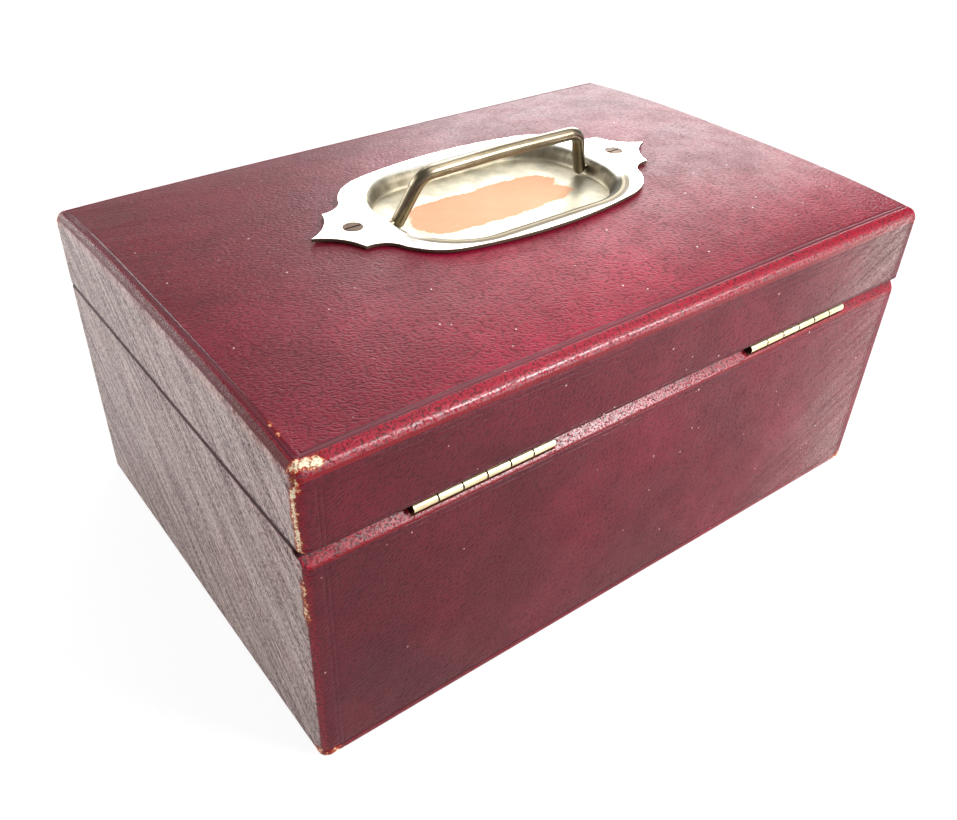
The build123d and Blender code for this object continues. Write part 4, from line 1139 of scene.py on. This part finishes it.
# The hinges' dirt tone also paints their shade.
pale_brass, dull_pale_brass, hinge_dirt_and_shade = tone(246, 236, 200), tone(226, 210, 162), tone(52, 30, 16)
brass, dull_brass, brass_dirt = tone(226, 192, 116), tone(196, 158, 88), tone(110, 82, 44)
steel, dark_steel, rust = tone(112, 92, 74), tone(78, 58, 44), tone(96, 56, 30)
finishes = {
    "red_leather": grained_leather().on(lid_skin, base_skin),
    "silver_plate": metal("silver_plate", silver, dull_silver, 0.26, silver_dirt_and_shade, -0.02, plate_dark_edge_and_mouth_shade),
    "bail_nickel": metal("tarnished_nickel", nickel, dull_nickel, 0.3, nickel_dirt, -0.02),
    "hinge_brass": metal("pale_brass", pale_brass, dull_pale_brass, 0.34, hinge_dirt_and_shade, -0.04, hinge_shaded_places),
    "lock_brass": metal("lock_brass", brass, dull_brass, 0.28, brass_dirt, 0.03),
    "screw_steel": metal("rusted_steel", steel, dark_steel, 0.5, rust, 0.1),
    "velvet": velvet().on(*soft_pieces),
    "carcass_wood": wood(),
    "under_cover": underside(),
}
for part in frame["record"]["subparts"]:
    finishes[part["material_slot"]].on(nodes[part["node"]])
silver_pan().on(nodes["handle_pan"])


# Camera, light and floor


def toward(azimuth, elevation):
    """The direction from the casket at this azimuth and elevation in degrees; azimuth 0 is the front
    and 90 the right end."""
    a, e = radians(azimuth), radians(elevation)
    return Vector((sin(a) * cos(e), -cos(a) * cos(e), sin(e)))


def aim(thing, back, roll=0.0):
    """Turns a camera or a lamp so that it looks against back, rolled by an angle in degrees."""
    level_right = Vector((0, 0, 1)).cross(back).normalized()
    up = back.cross(level_right)
    c, s = cos(radians(roll)), sin(radians(roll))
    right = level_right * c + up * s
    top = up * c - level_right * s
    turned = Matrix((right, top, back)).transposed().to_4x4()
    turned.translation = thing.location
    thing.matrix_world = turned


camera = put("camera", bpy.data.cameras.new("camera"))
camera.data.lens, camera.data.sensor_width = 36.08, 36
camera.data.shift_x, camera.data.shift_y = 0.0346, 0.0041
camera.location = (0.2193, 0.2682, 0.2844)
aim(camera, toward(143.59, 36.79), 0.83)
scene.camera = camera

middle = Vector((0, 0, 0.08))
paper_white = 1.1


def softbox(name, azimuth, elevation, distance, width, height, power):
    """A rectangular area lamp that looks at the casket from this direction."""
    lamp = bpy.data.lights.new(name, "AREA")
    lamp.shape, lamp.size, lamp.size_y, lamp.energy = "RECTANGLE", width, height, power
    holder = put(name, lamp)
    back = toward(azimuth, elevation)
    holder.location = middle + back * distance
    aim(holder, back)


softbox("far_low_softbox", 312, 17, 1.8, 1.2, 0.55, 20)
softbox("far_high_softbox", 330, 42, 1.7, 1.2, 0.8, 9)
softbox("overhead_softbox", 235, 64, 1.1, 0.7, 0.7, 5)
softbox("hinge_side_softbox", 213, 28, 1.0, 0.34, 0.38, 10)
softbox("end_softbox", 60, 25, 1.6, 1.0, 0.8, 6)
softbox("end_floor_softbox", 30, 14, 1.3, 0.8, 0.4, 8)

# The casket is lit by a dim sky, and the camera sees a bright one
world = bpy.data.worlds.new("studio")
scene.world = world
world.use_nodes = True
tree = world.node_tree
sky = tree.nodes["Background"]
sky.inputs["Color"].default_value = (1, 1, 1, 1)
sky.inputs["Strength"].default_value = 0.2
backdrop = tree.nodes.new("ShaderNodeBackground")
backdrop.inputs["Strength"].default_value = paper_white
eye = tree.nodes.new("ShaderNodeLightPath")
shown = tree.nodes.new("ShaderNodeMixShader")
for start, end in (
    (eye.outputs["Is Camera Ray"], shown.inputs[0]),
    (sky.outputs[0], shown.inputs[1]),
    (backdrop.outputs[0], shown.inputs[2]),
    (shown.outputs[0], tree.nodes["World Output"].inputs["Surface"]),
):
    tree.links.new(start, end)

reach = 4.0
floor_mesh = bpy.data.meshes.new("floor")
floor_corners = [(-reach, -reach, 0), (reach, -reach, 0), (reach, reach, 0), (-reach, reach, 0)]
floor_mesh.from_pydata(floor_corners, [], [(0, 1, 2, 3)])
floor = put("floor", floor_mesh)
paper = Finish("white_paper", roughness=0.9)
paper.set({"Base Color": (0.9, 0.9, 0.9, 1)})
glow = paper.node("Emission", None, {"Color": (1, 1, 1, 1), "Strength": paper_white})
seen = paper.node("LightPath", None, None, "Is Camera Ray")
lit = paper.node("MixShader", None, {0: seen * 0.8, 1: Field(paper, paper.shader.outputs[0]), 2: glow})
paper.tree.links.new(lit.socket, paper.tree.nodes["Material Output"].inputs["Surface"])
paper.on(floor)

scene.view_settings.view_transform = "Standard"
